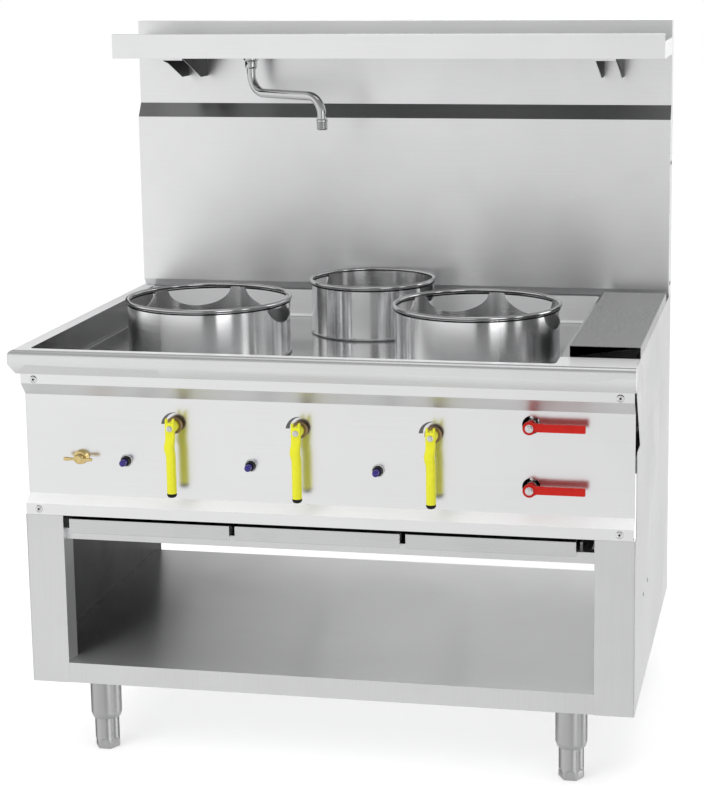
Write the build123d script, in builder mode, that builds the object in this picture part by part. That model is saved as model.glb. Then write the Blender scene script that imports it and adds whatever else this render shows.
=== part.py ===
"""A three-ring gas wok range: water-filled basin, splashback with shelf and tap, drip drawers, legs.

Millimetres. +Z is up, +X is the cook's right and -Y is the front. The origin lies on the floor,
under the middle of the worktop.
"""
from build123d import *
import math
import os

os.makedirs("parts", exist_ok=True)

# ---- Overall sizes
top_width = 1250.0  # worktop, side to side
top_depth = 850.0  # front of the nose to the back of the rear sheet
top_height = 855.0  # worktop rim above the floor
splash_rise = 618.0  # top of the splashback above the worktop rim

# ---- Sheet metal
top_gauge = 2.0  # worktop and basin
gauge = 1.5  # every other sheet
hem = 12.0  # small folded edge

# ---- Worktop nose, basin and deck
nose_face_height = 28.0  # upright front face of the nose
nose_skirt_height = 21.0  # slanted skirt under it
nose_skirt_inset = 12.0
nose_round = 12.0
rim_front = 28.0  # width of the front rim
rim_left = 38.0
rim_back = 60.0
basin_depth = 63.0
basin_round = 10.0
deck_width = 155.0  # flat deck to the right of the basin
body_inset_left = 16.0  # the body stands in this far under the nose at the left

# ---- Deck cover: a lift-off plate over a slot in the deck
cover_width = 137.0
cover_front = 96.0  # behind the nose
cover_back_gap = 130.0  # from the cover to the back
cover_height = 22.0
slot_margin = 10.0  # deck left standing inside the cover, all round

# ---- Burner rings
front_ring_y = 351.0  # behind the nose
back_ring_from_back = 206.0
left_ring_inset = 313.0  # from the left end of the worktop
centre_ring_x = -22.0
right_ring_inset = 361.0  # from the right end of the worktop
front_ring_radius = 171.5
back_ring_radius = 136.5
ring_wall = 2.5
ring_height = 121.0
bead_radius = 4.5
foot_bead_radius = 2.5
scallop_depth = 42.0
scallop_half_angle = 24.0
front_scallops = (-5.0, 55.0, 115.0, 175.0)  # degrees, counter-clockwise from +X
back_scallops = (-5.0, 175.0)

# ---- Burners in their chambers, under holes in the basin floor
hole_margin = 16.0  # floor left standing inside each ring
chamber_gap = 8.0  # the drum's wall stands this far outside the floor hole
chamber_depth = 190.0
drip_hole_radius = 40.0
venturi_radius = 18.0
venturi_hole_clearance = 4.0
burner_head_share = 0.66  # of the drum's radius
burner_well_outer = 0.78  # of the head's radius
burner_well_inner = 0.34
burner_leg_share = 0.75
burner_head_height = 26.0
burner_leg = 16.0
pilot_radius = 4.0
pilot_height = 120.0
pilot_shift = 54.0  # to the right of the mixing tube's middle

# ---- Body
panel_front = 23.0  # front plane of posts, drawers and panel lips, behind the nose
panel_face = 45.0  # recessed face of the control panel, behind the nose
panel_top_lip = 71.0  # fold below the worktop rim
panel_top_fold = 97.0
panel_bottom_fold = 302.0
panel_lip_fold = 319.0
panel_bottom = 341.6
panel_return = 17.0
panel_right_gap = 4.0  # open strip between the panel's right end and the side sheet
side_split_drop = 172.0  # seam between the lower sides and the aprons, below the rim
apron_front_top = 30.0
apron_front_bottom = 108.0
body_bottom = 159.0
post_width = 79.0
post_return = 50.0
rear_sheet_drop = 425.0  # its lower edge, below the rim

# ---- Bottom shelf, rail, runners and drip drawers
shelf_floor = 202.0
shelf_back_gap = 35.0
shelf_foot_gap = 1.0  # its skirt ends this far above the sides' lower edges
rail_drop = 395.0  # lower edge of the rail, below the rim
rail_height = 23.0
rail_setback = 40.0
rail_flange = 22.0
drawer_count = 3
drawer_left_gap = 12.5  # from the left post to the first front
drawer_gap = 11.5  # between two fronts
drawer_right_gap = 35.5  # from the last front to the right post
drawer_drop = 377.0  # lower edge of the fronts, below the rim
drawer_front_height = 29.0
drawer_back_gap = 134.0
runner_width = 40.0
runner_drop = 14.0
runner_rib = 6.0
runner_rib_height = 14.0
run_gap = 0.3  # running gap between pieces that slide or lift

# ---- Legs
leg_inset = 130.6  # from the outside of each side
leg_front = 92.0
sleeve_radius = 32.0
sleeve_bottom = 67.0
sleeve_chamfer = 10.0
sleeve_throat = 3.0
foot_radius = 25.5
foot_fit = 0.08
foot_hex_height = 22.0
foot_hex_across = 46.0
foot_hex_chamfer = 2.0
foot_engagement = 75.0

# ---- Splashback
splash_stand = 55.0  # its face in front of the back of the range
splash_upper_stand = 35.0
splash_bottom_fold = 17.0  # above the rim
splash_bottom_setback = 14.0
splash_fold_drop = 219.0  # below the top of the splashback
splash_upper_fold_drop = 188.0

# ---- Wall shelf and its brackets
shelf_end_inset = 8.0  # from the left side of the body
wall_shelf_drop = 75.0  # below the top of the splashback
wall_shelf_lip = 53.0
wall_shelf_depth = 205.0
wall_shelf_end = 37.0
bracket_spacing = 46.0
bracket_height = 50.0
bracket_reach = 190.0
bracket_toe_reach = 53.0
bracket_tab = 5.0
left_bracket_inset = 111.0  # from the left end of the shelf
right_bracket_inset = 151.0  # from the right end of the shelf

# ---- Tap
tap_inset = 292.0  # from the left side of the body
tap_standoff = 80.0  # in front of the splashback
tap_pipe_radius = 10.0
tap_feed_rise = 22.0  # feed pipe above the wall shelf
tap_collar_radius = 17.0
tap_collar_height = 12.0
tap_elbow_radius = 12.0
spout_reach = 236.0
spout_turn = -34.0  # degrees from +X, towards the cook
spout_bend = 42.0
spout_drop = 70.0
spout_end_drop = 118.0
aerator_radius = 12.0
aerator_height = 24.0
aerator_bore = 8.0
aerator_chamfer = 1.5
spout_wall = 1.5

# ---- Gas train: valves with brass hubs, manifold and feed pipes
gas_valve_shift = (20.0, -14.0, -33.0)  # to the right of its ring's middle
gas_valve_drop = 148.5  # below the rim
valve_body_radius = 18.0
valve_body_length = 56.0
hub_radius = 17.0
hub_front = 30.0  # front of the brass hub, behind the nose
hub_thickness = 5.0
stem_radius = 5.0
stem_fit = 0.06  # radial clearance of each handle on its stem
stem_hole_margin = 2.0
inlet_leg_radius = 10.0
manifold_radius = 13.5
manifold_drop = 51.5  # below the valves
manifold_boss_height = 20.0
manifold_boss_radius = 12.0
manifold_overhang = 59.0  # past the last valve
feed_radius = 9.0
feed_bend = 14.0

# ---- Yellow gas levers
lever_plane = 5.0  # centre of the lever, behind the nose
lever_radius = 9.75
lever_length = 131.5  # pivot to the bare end of the tube
lever_rise = 20.0  # pivot to the top of the head
lever_fork_share = 0.66  # bottom of the fork, of that rise
lever_head_thickness = 9.0
lever_bulge = 12.5
lever_bulge_drop = 38.5
lever_bulge_length = 31.2
lever_hub_radius = 11.0
cap_length = 9.0
lever_nut_radius = 5.5
lever_nut_height = 4.0
nut_chamfer = 0.6

# ---- Red water levers
water_valve_inset = 204.0  # from the right end of the worktop
water_valve_drop = (125.0, 248.0)  # below the rim
water_hole_radius = 18.0
water_body_radius = 19.0
water_body_height = 60.0
water_body_setback = 76.0
water_neck_radius = 10.8
red_plane = 16.0
red_length = 108.0
red_bar_height = 15.6
red_thickness = 5.0
red_hub_radius = 13.0
red_shoulder_length = 28.6  # from the pivot along the bar
red_shoulder_height = 11.2
red_boss_radius = 9.1
red_nut_across = 12.0
red_nut_height = 6.0

# ---- Igniters and pilot cock
igniter_shift = (-107.0, -104.0, -113.0)  # to the right of its gas lever
igniter_drop = 228.0  # below the rim
bezel_radius = 13.0
bezel_flange = 2.0
collar_radius = 9.5
collar_length = 12.0
bezel_body_length = 34.0
button_radius = 6.75
button_tip = 16.0
button_fit = 0.06
button_travel = 6.0
button_round = 1.5
button_inner_gap = 1.0  # past its travel, at the bottom of the bore
cock_inset = 132.0  # from the left end of the worktop
cock_drop = 223.0  # below the rim
cock_radius = 15.0
cock_boss_length = 12.0
cock_body_length = 40.0
wing_span = 62.0
wing_height = 8.0
wing_thickness = 5.0
wing_plane = 25.0
wing_hub_radius = 9.0

# ---- Fasteners
cup_washer_radius = 8.0
cup_washer_height = 2.5
screw_head_height = 1.6
screw_slope = 30  # degrees
panel_screw_rise = (62.5, 330.0)  # below the worktop rim
panel_screw_inset = 27.0
side_screw_radius = 5.0
side_screw_z = 350.0
side_screw_y = (206.0, 302.0)
splash_screw_rise = (29.0, 301.0)  # above the rim
splash_screw_pitch = 14.0

# ---- Services at the back
inlet_radius = 13.2  # pipe thread, outside
inlet_bore = 9.0
inlet_projection = 15.0  # thread outside the rear sheet
gas_inlet_inset = 125.0  # from the right end of the worktop
gas_pipe_radius = 12.0
gas_pipe_setback = 130.0  # the supply passes behind the water valves
water_inlet_inset = 65.0
water_inlet_drop = 325.0  # below the rim
water_pipe_radius = 10.0
service_bend = 22.0
gas_turn_run = 44.0  # past the manifold, before the supply turns back
drain_radius = 20.0
drain_bore = 17.0
drain_flange = 12.0
drain_length = 120.0
drain_shift = -64.0  # to the right of the right ring's middle
drain_from_back = 210.0

# ---- Derived places
left_x = -top_width / 2
right_x = top_width / 2
front_y = -top_depth / 2
back_y = top_depth / 2
body_left = left_x + body_inset_left
inside_left = body_left + gauge
inside_right = right_x - gauge
inside_back = back_y - gauge
rim_z = top_height
rim_under = rim_z - top_gauge
basin_floor = rim_z - basin_depth
basin_under = basin_floor - top_gauge
basin_left = left_x + rim_left
basin_right = right_x - deck_width
basin_front = front_y + rim_front
basin_back = back_y - rim_back
nose_fold = rim_z - nose_face_height
skirt_bottom = nose_fold - nose_skirt_height
panel_y = front_y + panel_face
panel_back = panel_y + gauge
post_y = front_y + panel_front
panel_foot = rim_z - panel_bottom
post_left_inner = body_left + post_width
post_right_inner = right_x - post_width


def behind(depth):
    """The Y of something that lies this far behind the front of the nose."""
    return front_y + depth


left_ring_x = left_x + left_ring_inset
right_ring_x = right_x - right_ring_inset
back_ring_y = back_y - back_ring_from_back
rings = {
    "left": (left_ring_x, behind(front_ring_y), front_ring_radius, front_scallops),
    "centre": (centre_ring_x, back_ring_y, back_ring_radius, back_scallops),
    "right": (right_ring_x, behind(front_ring_y), front_ring_radius, front_scallops),
}
side_split = rim_z - side_split_drop
splash_y = back_y - splash_stand
splash_upper_y = back_y - splash_upper_stand
splash_top = rim_z + splash_rise


def save(part, name):
    """Labels a finished piece and writes it to its own file."""
    part.label = name
    export_step(part, f"parts/{name}.step")


# ---- Worktop: nose, rim, basin and deck, welded into one sheet
cover_left = right_x - cover_width
cover_depth = top_depth - cover_front - cover_back_gap
slot_left = cover_left + slot_margin
slot_right = right_x - slot_margin
slot_front = behind(cover_front + slot_margin)
slot_back = behind(cover_front + cover_depth - slot_margin)


def top_block(inset):
    """The worktop's form: an upright nose over a skirt that slants in at the front and left.

    The inset makes the smaller block that hollows it out.
    """
    outline = (
        (left_x + inset, front_y + inset),
        (right_x - inset, front_y + inset),
        (right_x - inset, inside_back - inset),
        (left_x + inset, inside_back - inset),
    )
    skirt_shift = ((1, 1), (0, 1), (0, 0), (1, 0))  # the corners that the skirt draws in
    with BuildPart() as block:
        with BuildSketch(Plane.XY.offset(nose_fold)):
            with BuildLine():
                Polyline(*outline, close=True)
            make_face()
        extrude(amount=rim_z - inset - nose_fold)
        with BuildSketch(Plane.XY.offset(nose_fold)):
            with BuildLine():
                Polyline(*outline, close=True)
            make_face()
        with BuildSketch(Plane.XY.offset(skirt_bottom)):
            with BuildLine():
                Polyline(
                    *[
                        (x + move_x * nose_skirt_inset, y + move_y * nose_skirt_inset)
                        for (x, y), (move_x, move_y) in zip(outline, skirt_shift)
                    ],
                    close=True,
                )
            make_face()
        loft()
        top_edges = block.edges().group_by(Axis.Z)[-1]
        fillet(top_edges.sort_by(Axis.Y)[:1] + top_edges.sort_by(Axis.X)[:1], nose_round - inset)
    return block.part


top_solid = top_block(0.0)
top_hollow = top_block(top_gauge)
with BuildPart() as worktop_sheet:
    add(top_solid)
    add(top_hollow, mode=Mode.SUBTRACT)
    # the basin's tray hangs in the hollow
    with BuildSketch(Plane.XY.offset(basin_under)):
        with BuildLine():
            Polyline(
                (basin_left - top_gauge, basin_front - top_gauge),
                (basin_right + top_gauge, basin_front - top_gauge),
                (basin_right + top_gauge, basin_back + top_gauge),
                (basin_left - top_gauge, basin_back + top_gauge),
                close=True,
            )
        make_face()
    extrude(amount=rim_z - basin_under)

with BuildPart() as basin_space:
    with BuildSketch(Plane.XY.offset(basin_floor)):
        with Locations(((basin_left + basin_right) / 2, (basin_front + basin_back) / 2)):
            RectangleRounded(basin_right - basin_left, basin_back - basin_front, basin_round)
    extrude(amount=basin_depth + top_gauge)
    fillet(basin_space.edges().group_by(Axis.Z)[0], basin_round - top_gauge)

drain_x = right_ring_x + drain_shift
drain_y = back_y - drain_from_back
with BuildPart() as worktop_cuts:
    for ring_x, ring_y, ring_radius, _ in rings.values():
        with BuildSketch(Plane.XY.offset(basin_under)):
            with Locations((ring_x, ring_y)):
                Circle(ring_radius - hole_margin)
        extrude(amount=top_gauge)
    with BuildSketch(Plane.XY.offset(basin_under)):
        with Locations((drain_x, drain_y)):
            Circle(drain_bore)
    extrude(amount=top_gauge)
    # slot in the deck, under the cover
    with BuildSketch(Plane.XY.offset(rim_under)):
        with Locations(((slot_left + slot_right) / 2, (slot_front + slot_back) / 2)):
            Rectangle(slot_right - slot_left, slot_back - slot_front)
    extrude(amount=top_gauge)
    # the right apron stands flush in a rebate behind the nose
    with BuildSketch(Plane.XY.offset(skirt_bottom)):
        with BuildLine():
            Polyline(
                (inside_right, behind(apron_front_top)),
                (right_x, behind(apron_front_top)),
                (right_x, back_y),
                (inside_right, back_y),
                close=True,
            )
        make_face()
    extrude(amount=rim_z - skirt_bottom)

with BuildPart() as worktop:
    add(worktop_sheet.part)
    add(basin_space.part, mode=Mode.SUBTRACT)
    add(worktop_cuts.part, mode=Mode.SUBTRACT)
save(worktop.part, "worktop")

# ---- Sides: a lower panel and an apron on each side
side_outline = [
    (post_y, body_bottom),
    (inside_back, body_bottom),
    (inside_back, side_split),
    (panel_back, side_split),
    (panel_back, panel_foot),
    (post_y, panel_foot),
]
for side, sheet_x in (("left", body_left), ("right", inside_right)):
    with BuildPart() as side_panel:
        with BuildSketch(Plane.YZ.offset(sheet_x)):
            with BuildLine():
                Polyline(*side_outline, close=True)
            make_face()
        extrude(amount=gauge)
    save(side_panel.part, f"{side}_side_panel")

with BuildPart() as left_apron:
    with BuildSketch(Plane.YZ.offset(body_left)):
        with BuildLine():
            Polyline(
                (panel_back, side_split),
                (inside_back - top_gauge, side_split),
                (inside_back - top_gauge, rim_under),
                (panel_back, rim_under),
                close=True,
            )
        make_face()
    extrude(amount=gauge)
with BuildPart() as right_apron:
    with BuildSketch(Plane.YZ.offset(inside_right)):
        with BuildLine():
            Polyline(
                (behind(apron_front_bottom), side_split),
                (inside_back, side_split),
                (inside_back, rim_z),
                (behind(apron_front_top), rim_z),
                (behind(apron_front_top), rim_z - panel_top_lip + nose_skirt_height / 2),
                close=True,
            )
        make_face()
    extrude(amount=gauge)
save(left_apron.part, "left_apron")
save(right_apron.part, "right_apron")

# ---- Front posts: a folded channel at each side of the bay
with BuildPart() as front_posts:
    for post_line in (
        (
            (inside_left, post_y),
            (post_left_inner, post_y),
            (post_left_inner, post_y + post_return),
        ),
        (
            (post_right_inner, post_y + post_return),
            (post_right_inner, post_y),
            (inside_right, post_y),
        ),
    ):
        with BuildSketch(Plane.XY.offset(body_bottom)):
            with BuildLine():
                Polyline(*post_line)
                offset(amount=gauge, side=Side.LEFT)
            make_face()
        extrude(amount=panel_foot - body_bottom)
save(front_posts.part, "front_posts")

# ---- Bottom shelf: a tray turned over, notched round the posts
shelf_back = back_y - shelf_back_gap
with BuildPart() as bottom_shelf:
    with BuildSketch(Plane.XY.offset(body_bottom + shelf_foot_gap)):
        with BuildLine():
            Polyline(
                (post_left_inner, post_y),
                (post_right_inner, post_y),
                (post_right_inner, post_y + post_return),
                (inside_right, post_y + post_return),
                (inside_right, shelf_back),
                (inside_left, shelf_back),
                (inside_left, post_y + post_return),
                (post_left_inner, post_y + post_return),
                close=True,
            )
        make_face()
    extrude(amount=shelf_floor - body_bottom - shelf_foot_gap)
    underside = bottom_shelf.faces().sort_by(Axis.Z)[0]
    offset(amount=-gauge, openings=underside)
save(bottom_shelf.part, "bottom_shelf")

# ---- Rail under the drawers and the drawers' runners
rail_bottom = rim_z - rail_drop
with BuildPart() as drawer_rail:
    with BuildSketch(Plane.YZ.offset(post_left_inner)):
        with BuildLine():
            Polyline(
                (behind(rail_setback), rail_bottom),
                (behind(rail_setback), rail_bottom + rail_height),
                (behind(rail_setback + rail_flange), rail_bottom + rail_height),
                (behind(rail_setback + rail_flange), rail_bottom),
            )
            offset(amount=gauge, side=Side.RIGHT)
        make_face()
    extrude(amount=post_right_inner - post_left_inner)
save(drawer_rail.part, "drawer_rail")

tray_bottom = rail_bottom + rail_height + run_gap
drawer_bottom = rim_z - drawer_drop
drawer_row_left = post_left_inner + drawer_left_gap
drawer_row = post_right_inner - drawer_right_gap - drawer_row_left
drawer_pitch = (drawer_row + drawer_gap) / drawer_count
drawer_width = drawer_pitch - drawer_gap
drawer_depth = inside_back - drawer_back_gap - post_y - gauge
drawer_x = [drawer_row_left + drawer_width / 2 + n * drawer_pitch for n in range(drawer_count)]
runner_x = [drawer_row_left - drawer_gap / 2 + n * drawer_pitch for n in range(drawer_count + 1)]
runner_start = behind(rail_setback + rail_flange)
with BuildPart() as drawer_runners:
    for x in runner_x:
        # the first one stops at the post's return
        outer = max(x - runner_width / 2, post_left_inner)
        seat = tray_bottom - run_gap
        with BuildSketch(Plane.XZ.offset(-inside_back)):
            with BuildLine():
                Polyline(
                    (outer, seat - runner_drop),
                    (x + runner_width / 2, seat - runner_drop),
                    (x + runner_width / 2, seat),
                    (x + runner_rib / 2, seat),
                    (x + runner_rib / 2, seat + runner_rib_height),
                    (x - runner_rib / 2, seat + runner_rib_height),
                    (x - runner_rib / 2, seat),
                    (outer, seat),
                    close=True,
                )
            make_face()
        extrude(amount=inside_back - runner_start)
save(drawer_runners.part, "drawer_runners")

for number, x in enumerate(drawer_x, start=1):
    with BuildPart() as drawer:
        with BuildSketch(Plane.XY.offset(tray_bottom)):
            with Locations((x, post_y + gauge + drawer_depth / 2)):
                Rectangle(drawer_width - 2 * gauge, drawer_depth)
        extrude(amount=drawer_bottom + drawer_front_height - tray_bottom)
        mouth = drawer.faces().sort_by(Axis.Z)[-1]
        offset(amount=-gauge, openings=mouth)
        with BuildSketch(Plane.XZ.offset(-post_y)):
            with Locations((x, drawer_bottom + drawer_front_height / 2)):
                Rectangle(drawer_width, drawer_front_height)
        extrude(amount=-gauge)
    save(drawer.part, f"drip_drawer_{number}")

# ---- Rear sheet, one piece from the burner space to the top of the splashback
rear_sheet_bottom = rim_z - rear_sheet_drop
gas_valve_z = rim_z - gas_valve_drop
manifold_z = gas_valve_z - manifold_drop
gas_inlet_x = right_x - gas_inlet_inset
water_inlet_x = right_x - water_inlet_inset
water_inlet_z = rim_z - water_inlet_drop
with BuildPart() as rear_sheet:
    with BuildSketch(Plane.XZ.offset(-back_y)):
        with BuildLine():
            Polyline(
                (body_left, rear_sheet_bottom),
                (right_x, rear_sheet_bottom),
                (right_x, splash_top),
                (body_left, splash_top),
                close=True,
            )
        make_face()
    extrude(amount=gauge)
    with BuildSketch(Plane.XZ.offset(-back_y)):
        with Locations((gas_inlet_x, manifold_z), (water_inlet_x, water_inlet_z)):
            Circle(inlet_radius + run_gap)
    extrude(amount=gauge, mode=Mode.SUBTRACT)
save(rear_sheet.part, "rear_sheet")

# ---- Burner rings: rolled steel, scalloped under the bead, standing loose on the basin floor
ring_foot = basin_floor + run_gap
ring_rim = ring_foot + ring_height


def burner_ring(ring_x, ring_y, radius, scallops):
    """One ring: a thin wall with a bead at its rim and its foot and half-round air gaps between."""
    ring_plane = Plane((ring_x, ring_y, ring_foot), x_dir=(1, 0, 0), z_dir=(0, -1, 0))
    with BuildPart() as ring:
        with BuildSketch(ring_plane):
            with Locations((radius - ring_wall / 2, ring_height / 2)):
                Rectangle(ring_wall, ring_height - bead_radius)
            with Locations((radius, ring_height - bead_radius)):
                Circle(bead_radius)
            with Locations((radius, foot_bead_radius)):
                Circle(foot_bead_radius)
            with Locations((radius - ring_wall / 2, bead_radius)):
                Rectangle(ring_wall, 2 * bead_radius)
        revolve(axis=Axis((ring_x, ring_y, ring_foot), (0, 0, 1)))
        gap_top = ring_height - 2 * bead_radius
        gap_half = radius * math.sin(math.radians(scallop_half_angle))
        for angle in scallops:
            across_x = math.cos(math.radians(angle))
            across_y = math.sin(math.radians(angle))
            turned = Plane(
                (ring_x, ring_y, ring_foot),
                x_dir=(-across_y, across_x, 0),
                z_dir=(across_x, across_y, 0),
            )
            with BuildSketch(turned):
                with Locations((0, gap_top)):
                    Ellipse(gap_half, scallop_depth)
                with Locations((0, gap_top + scallop_depth / 2)):
                    Rectangle(2 * gap_half, scallop_depth, mode=Mode.SUBTRACT)
            extrude(amount=radius + 2 * bead_radius, mode=Mode.SUBTRACT)
    return ring.part


for side, ring_sizes in rings.items():
    save(burner_ring(*ring_sizes), f"{side}_ring")

# ---- Burner chambers: open drums hung under the basin floor
chamber_bottom = basin_under - chamber_depth
venturi_hole = venturi_radius + venturi_hole_clearance
with BuildPart() as burner_chambers:
    for ring_x, ring_y, ring_radius, _ in rings.values():
        drum_radius = ring_radius - hole_margin + chamber_gap
        with BuildSketch(Plane.XY.offset(chamber_bottom)):
            with Locations((ring_x, ring_y)):
                Circle(drum_radius)
        extrude(amount=chamber_depth)
        with BuildSketch(Plane.XY.offset(chamber_bottom + gauge)):
            with Locations((ring_x, ring_y)):
                Circle(drum_radius - gauge)
        extrude(amount=chamber_depth, mode=Mode.SUBTRACT)
        with BuildSketch(Plane.XY.offset(chamber_bottom)):
            with Locations((ring_x, ring_y)):
                Circle(drip_hole_radius)
        extrude(amount=gauge, mode=Mode.SUBTRACT)
        with BuildSketch(Plane.XZ.offset(-ring_y)):
            with Locations((ring_x, gas_valve_z)):
                Circle(venturi_hole)
        extrude(amount=drum_radius + gauge, mode=Mode.SUBTRACT)
save(burner_chambers.part, "burner_chambers")

# ---- Burners: a cast head on two legs, with a mixing tube out through the chamber's wall
venturi_overhang = 12.0
with BuildPart() as burners:
    for ring_x, ring_y, ring_radius, _ in rings.values():
        drum_radius = ring_radius - hole_margin + chamber_gap
        head_radius = drum_radius * burner_head_share
        with BuildSketch(Plane.XZ.offset(-ring_y)):
            with Locations((ring_x, gas_valve_z)):
                Circle(venturi_radius)
        extrude(amount=drum_radius + venturi_overhang)
        head_bottom = gas_valve_z + venturi_radius / 2
        with BuildSketch(Plane.XY.offset(head_bottom)):
            with Locations((ring_x, ring_y)):
                Circle(head_radius)
        extrude(amount=burner_head_height)
        with BuildSketch(Plane.XY.offset(head_bottom + burner_head_height / 2)):
            with Locations((ring_x, ring_y)):
                Circle(head_radius * burner_well_outer)
                Circle(head_radius * burner_well_inner, mode=Mode.SUBTRACT)
        extrude(amount=burner_head_height, mode=Mode.SUBTRACT)
        with BuildSketch(Plane.XY.offset(chamber_bottom + gauge)):
            with Locations(
                (ring_x - head_radius * burner_leg_share, ring_y),
                (ring_x + head_radius * burner_leg_share, ring_y),
            ):
                Rectangle(burner_leg, burner_leg)
        extrude(until=Until.NEXT)
save(burners.part, "burners")

# ---- Pilot burners stand beside the heads
with BuildPart() as pilot_burners:
    for ring_x, ring_y, ring_radius, _ in rings.values():
        drum_radius = ring_radius - hole_margin + chamber_gap
        pilot_y = ring_y - drum_radius * (1 + burner_head_share) / 2
        with BuildSketch(Plane.XY.offset(chamber_bottom + gauge)):
            with Locations((ring_x + pilot_shift, pilot_y + 2 * pilot_radius)):
                Circle(pilot_radius)
        extrude(amount=pilot_height)
save(pilot_burners.part, "pilot_burners")

# ---- Legs: fixed sleeves with screw-out feet
leg_places = {
    "front_left": (body_left + leg_inset, behind(leg_front)),
    "front_right": (right_x - leg_inset, behind(leg_front)),
    "back_left": (body_left + leg_inset, back_y - leg_front),
    "back_right": (right_x - leg_inset, back_y - leg_front),
}
shelf_under = shelf_floor - gauge
with BuildPart() as leg_sleeves:
    for leg_x, leg_y in leg_places.values():
        with BuildSketch(Plane.XZ.offset(-leg_y)):
            with BuildLine():
                Polyline(
                    (leg_x + foot_radius + foot_fit, sleeve_bottom),
                    (leg_x + foot_radius + sleeve_throat, sleeve_bottom),
                    (leg_x + sleeve_radius, sleeve_bottom + sleeve_chamfer),
                    (leg_x + sleeve_radius, shelf_under),
                    (leg_x + foot_radius + foot_fit, shelf_under),
                    close=True,
                )
            make_face()
        revolve(axis=Axis((leg_x, leg_y, 0), (0, 0, 1)))
save(leg_sleeves.part, "leg_sleeves")

for corner, (leg_x, leg_y) in leg_places.items():
    with BuildPart() as foot:
        with BuildSketch():
            with Locations((leg_x, leg_y)):
                RegularPolygon(foot_hex_across / 2, 6, major_radius=False)
        extrude(amount=foot_hex_height)
        with BuildSketch(Plane.XY.offset(foot_hex_height)):
            with Locations((leg_x, leg_y)):
                Circle(foot_radius)
        extrude(amount=sleeve_bottom + foot_engagement - foot_hex_height)
        chamfer(foot.edges().group_by(Axis.Z)[0], foot_hex_chamfer)
    save(foot.part, f"foot_{corner}")

# ---- Splashback: a lower and an upper tray on the rear sheet
splash_fold = splash_top - splash_fold_drop
splash_upper_fold = splash_top - splash_upper_fold_drop
with BuildPart() as splash_lower:
    with BuildSketch(Plane.YZ.offset(body_left)):
        with BuildLine():
            Polyline(
                (inside_back, rim_z),
                (splash_y + splash_bottom_setback, rim_z),
                (splash_y, rim_z + splash_bottom_fold),
                (splash_y, splash_fold),
                (splash_upper_y, splash_upper_fold),
                (inside_back, splash_upper_fold),
                close=True,
            )
        make_face()
    extrude(amount=right_x - body_left)
    offset(amount=-gauge, openings=splash_lower.faces().sort_by(Axis.Y)[-1])
save(splash_lower.part, "splash_lower")

wall_shelf_bottom = splash_top - wall_shelf_drop
tap_x = body_left + tap_inset
tap_y = splash_upper_y - tap_standoff
feed_z = wall_shelf_bottom + tap_feed_rise
with BuildPart() as splash_upper:
    with BuildSketch(Plane.XZ.offset(-inside_back)):
        with BuildLine():
            Polyline(
                (body_left, splash_upper_fold),
                (right_x, splash_upper_fold),
                (right_x, splash_top),
                (body_left, splash_top),
                close=True,
            )
        make_face()
    extrude(amount=inside_back - splash_upper_y)
    offset(amount=-gauge, openings=splash_upper.faces().sort_by(Axis.Y)[-1])
    # hole for the tap's feed pipe
    with BuildSketch(Plane.XZ.offset(-splash_upper_y)):
        with Locations((tap_x, feed_z)):
            Circle(tap_pipe_radius)
    extrude(amount=-gauge, mode=Mode.SUBTRACT)
save(splash_upper.part, "splash_upper")

# ---- Wall shelf: a tray with a high front lip and lower ends
shelf_left = body_left + shelf_end_inset
shelf_right = right_x
wall_shelf_y = splash_upper_y - wall_shelf_depth
with BuildPart() as wall_shelf:
    with BuildSketch(Plane.YZ.offset(shelf_left)):
        with BuildLine():
            Polyline(
                (wall_shelf_y + hem, wall_shelf_bottom + wall_shelf_lip),
                (wall_shelf_y, wall_shelf_bottom + wall_shelf_lip),
                (wall_shelf_y, wall_shelf_bottom),
                (splash_upper_y, wall_shelf_bottom),
            )
            offset(amount=gauge, side=Side.LEFT)
        make_face()
    extrude(amount=shelf_right - shelf_left)
    for end_x in (shelf_left, shelf_right - gauge):
        with BuildSketch(Plane.YZ.offset(end_x)):
            with BuildLine():
                Polyline(
                    (wall_shelf_y, wall_shelf_bottom),
                    (splash_upper_y, wall_shelf_bottom),
                    (splash_upper_y, wall_shelf_bottom + wall_shelf_end),
                    (wall_shelf_y, wall_shelf_bottom + wall_shelf_end),
                    close=True,
                )
            make_face()
        extrude(amount=gauge)
    with BuildSketch(Plane.XY.offset(wall_shelf_bottom)):
        with Locations((tap_x, tap_y)):
            Circle(tap_pipe_radius)
    extrude(amount=gauge, mode=Mode.SUBTRACT)
save(wall_shelf.part, "wall_shelf")

# ---- Shelf brackets: two cheeks joined by a back plate and a front tab
bracket_top = wall_shelf_bottom
bracket_y = splash_upper_y - bracket_reach
bracket_toe_y = splash_upper_y - bracket_toe_reach
left_bracket_x = shelf_left + left_bracket_inset
right_bracket_x = shelf_right - right_bracket_inset
with BuildPart() as shelf_brackets:
    for bracket_x in (left_bracket_x, right_bracket_x):
        for cheek_x in (bracket_x, bracket_x + bracket_spacing - gauge):
            with BuildSketch(Plane.YZ.offset(cheek_x)):
                with BuildLine():
                    Polyline(
                        (bracket_y, bracket_top),
                        (bracket_toe_y, bracket_top - bracket_height),
                        (splash_upper_y, bracket_top - bracket_height),
                        (splash_upper_y, bracket_top),
                        close=True,
                    )
                make_face()
            extrude(amount=gauge)
        with BuildSketch(Plane.XZ.offset(-splash_upper_y)):
            with Locations((bracket_x + bracket_spacing / 2, bracket_top - bracket_height / 2)):
                Rectangle(bracket_spacing, bracket_height)
        extrude(amount=gauge)
        with BuildSketch(Plane.XZ.offset(-bracket_y)):
            with Locations((bracket_x + bracket_spacing / 2, bracket_top - bracket_tab / 2)):
                Rectangle(bracket_spacing, bracket_tab)
        extrude(amount=-gauge)
save(shelf_brackets.part, "shelf_brackets")

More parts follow.
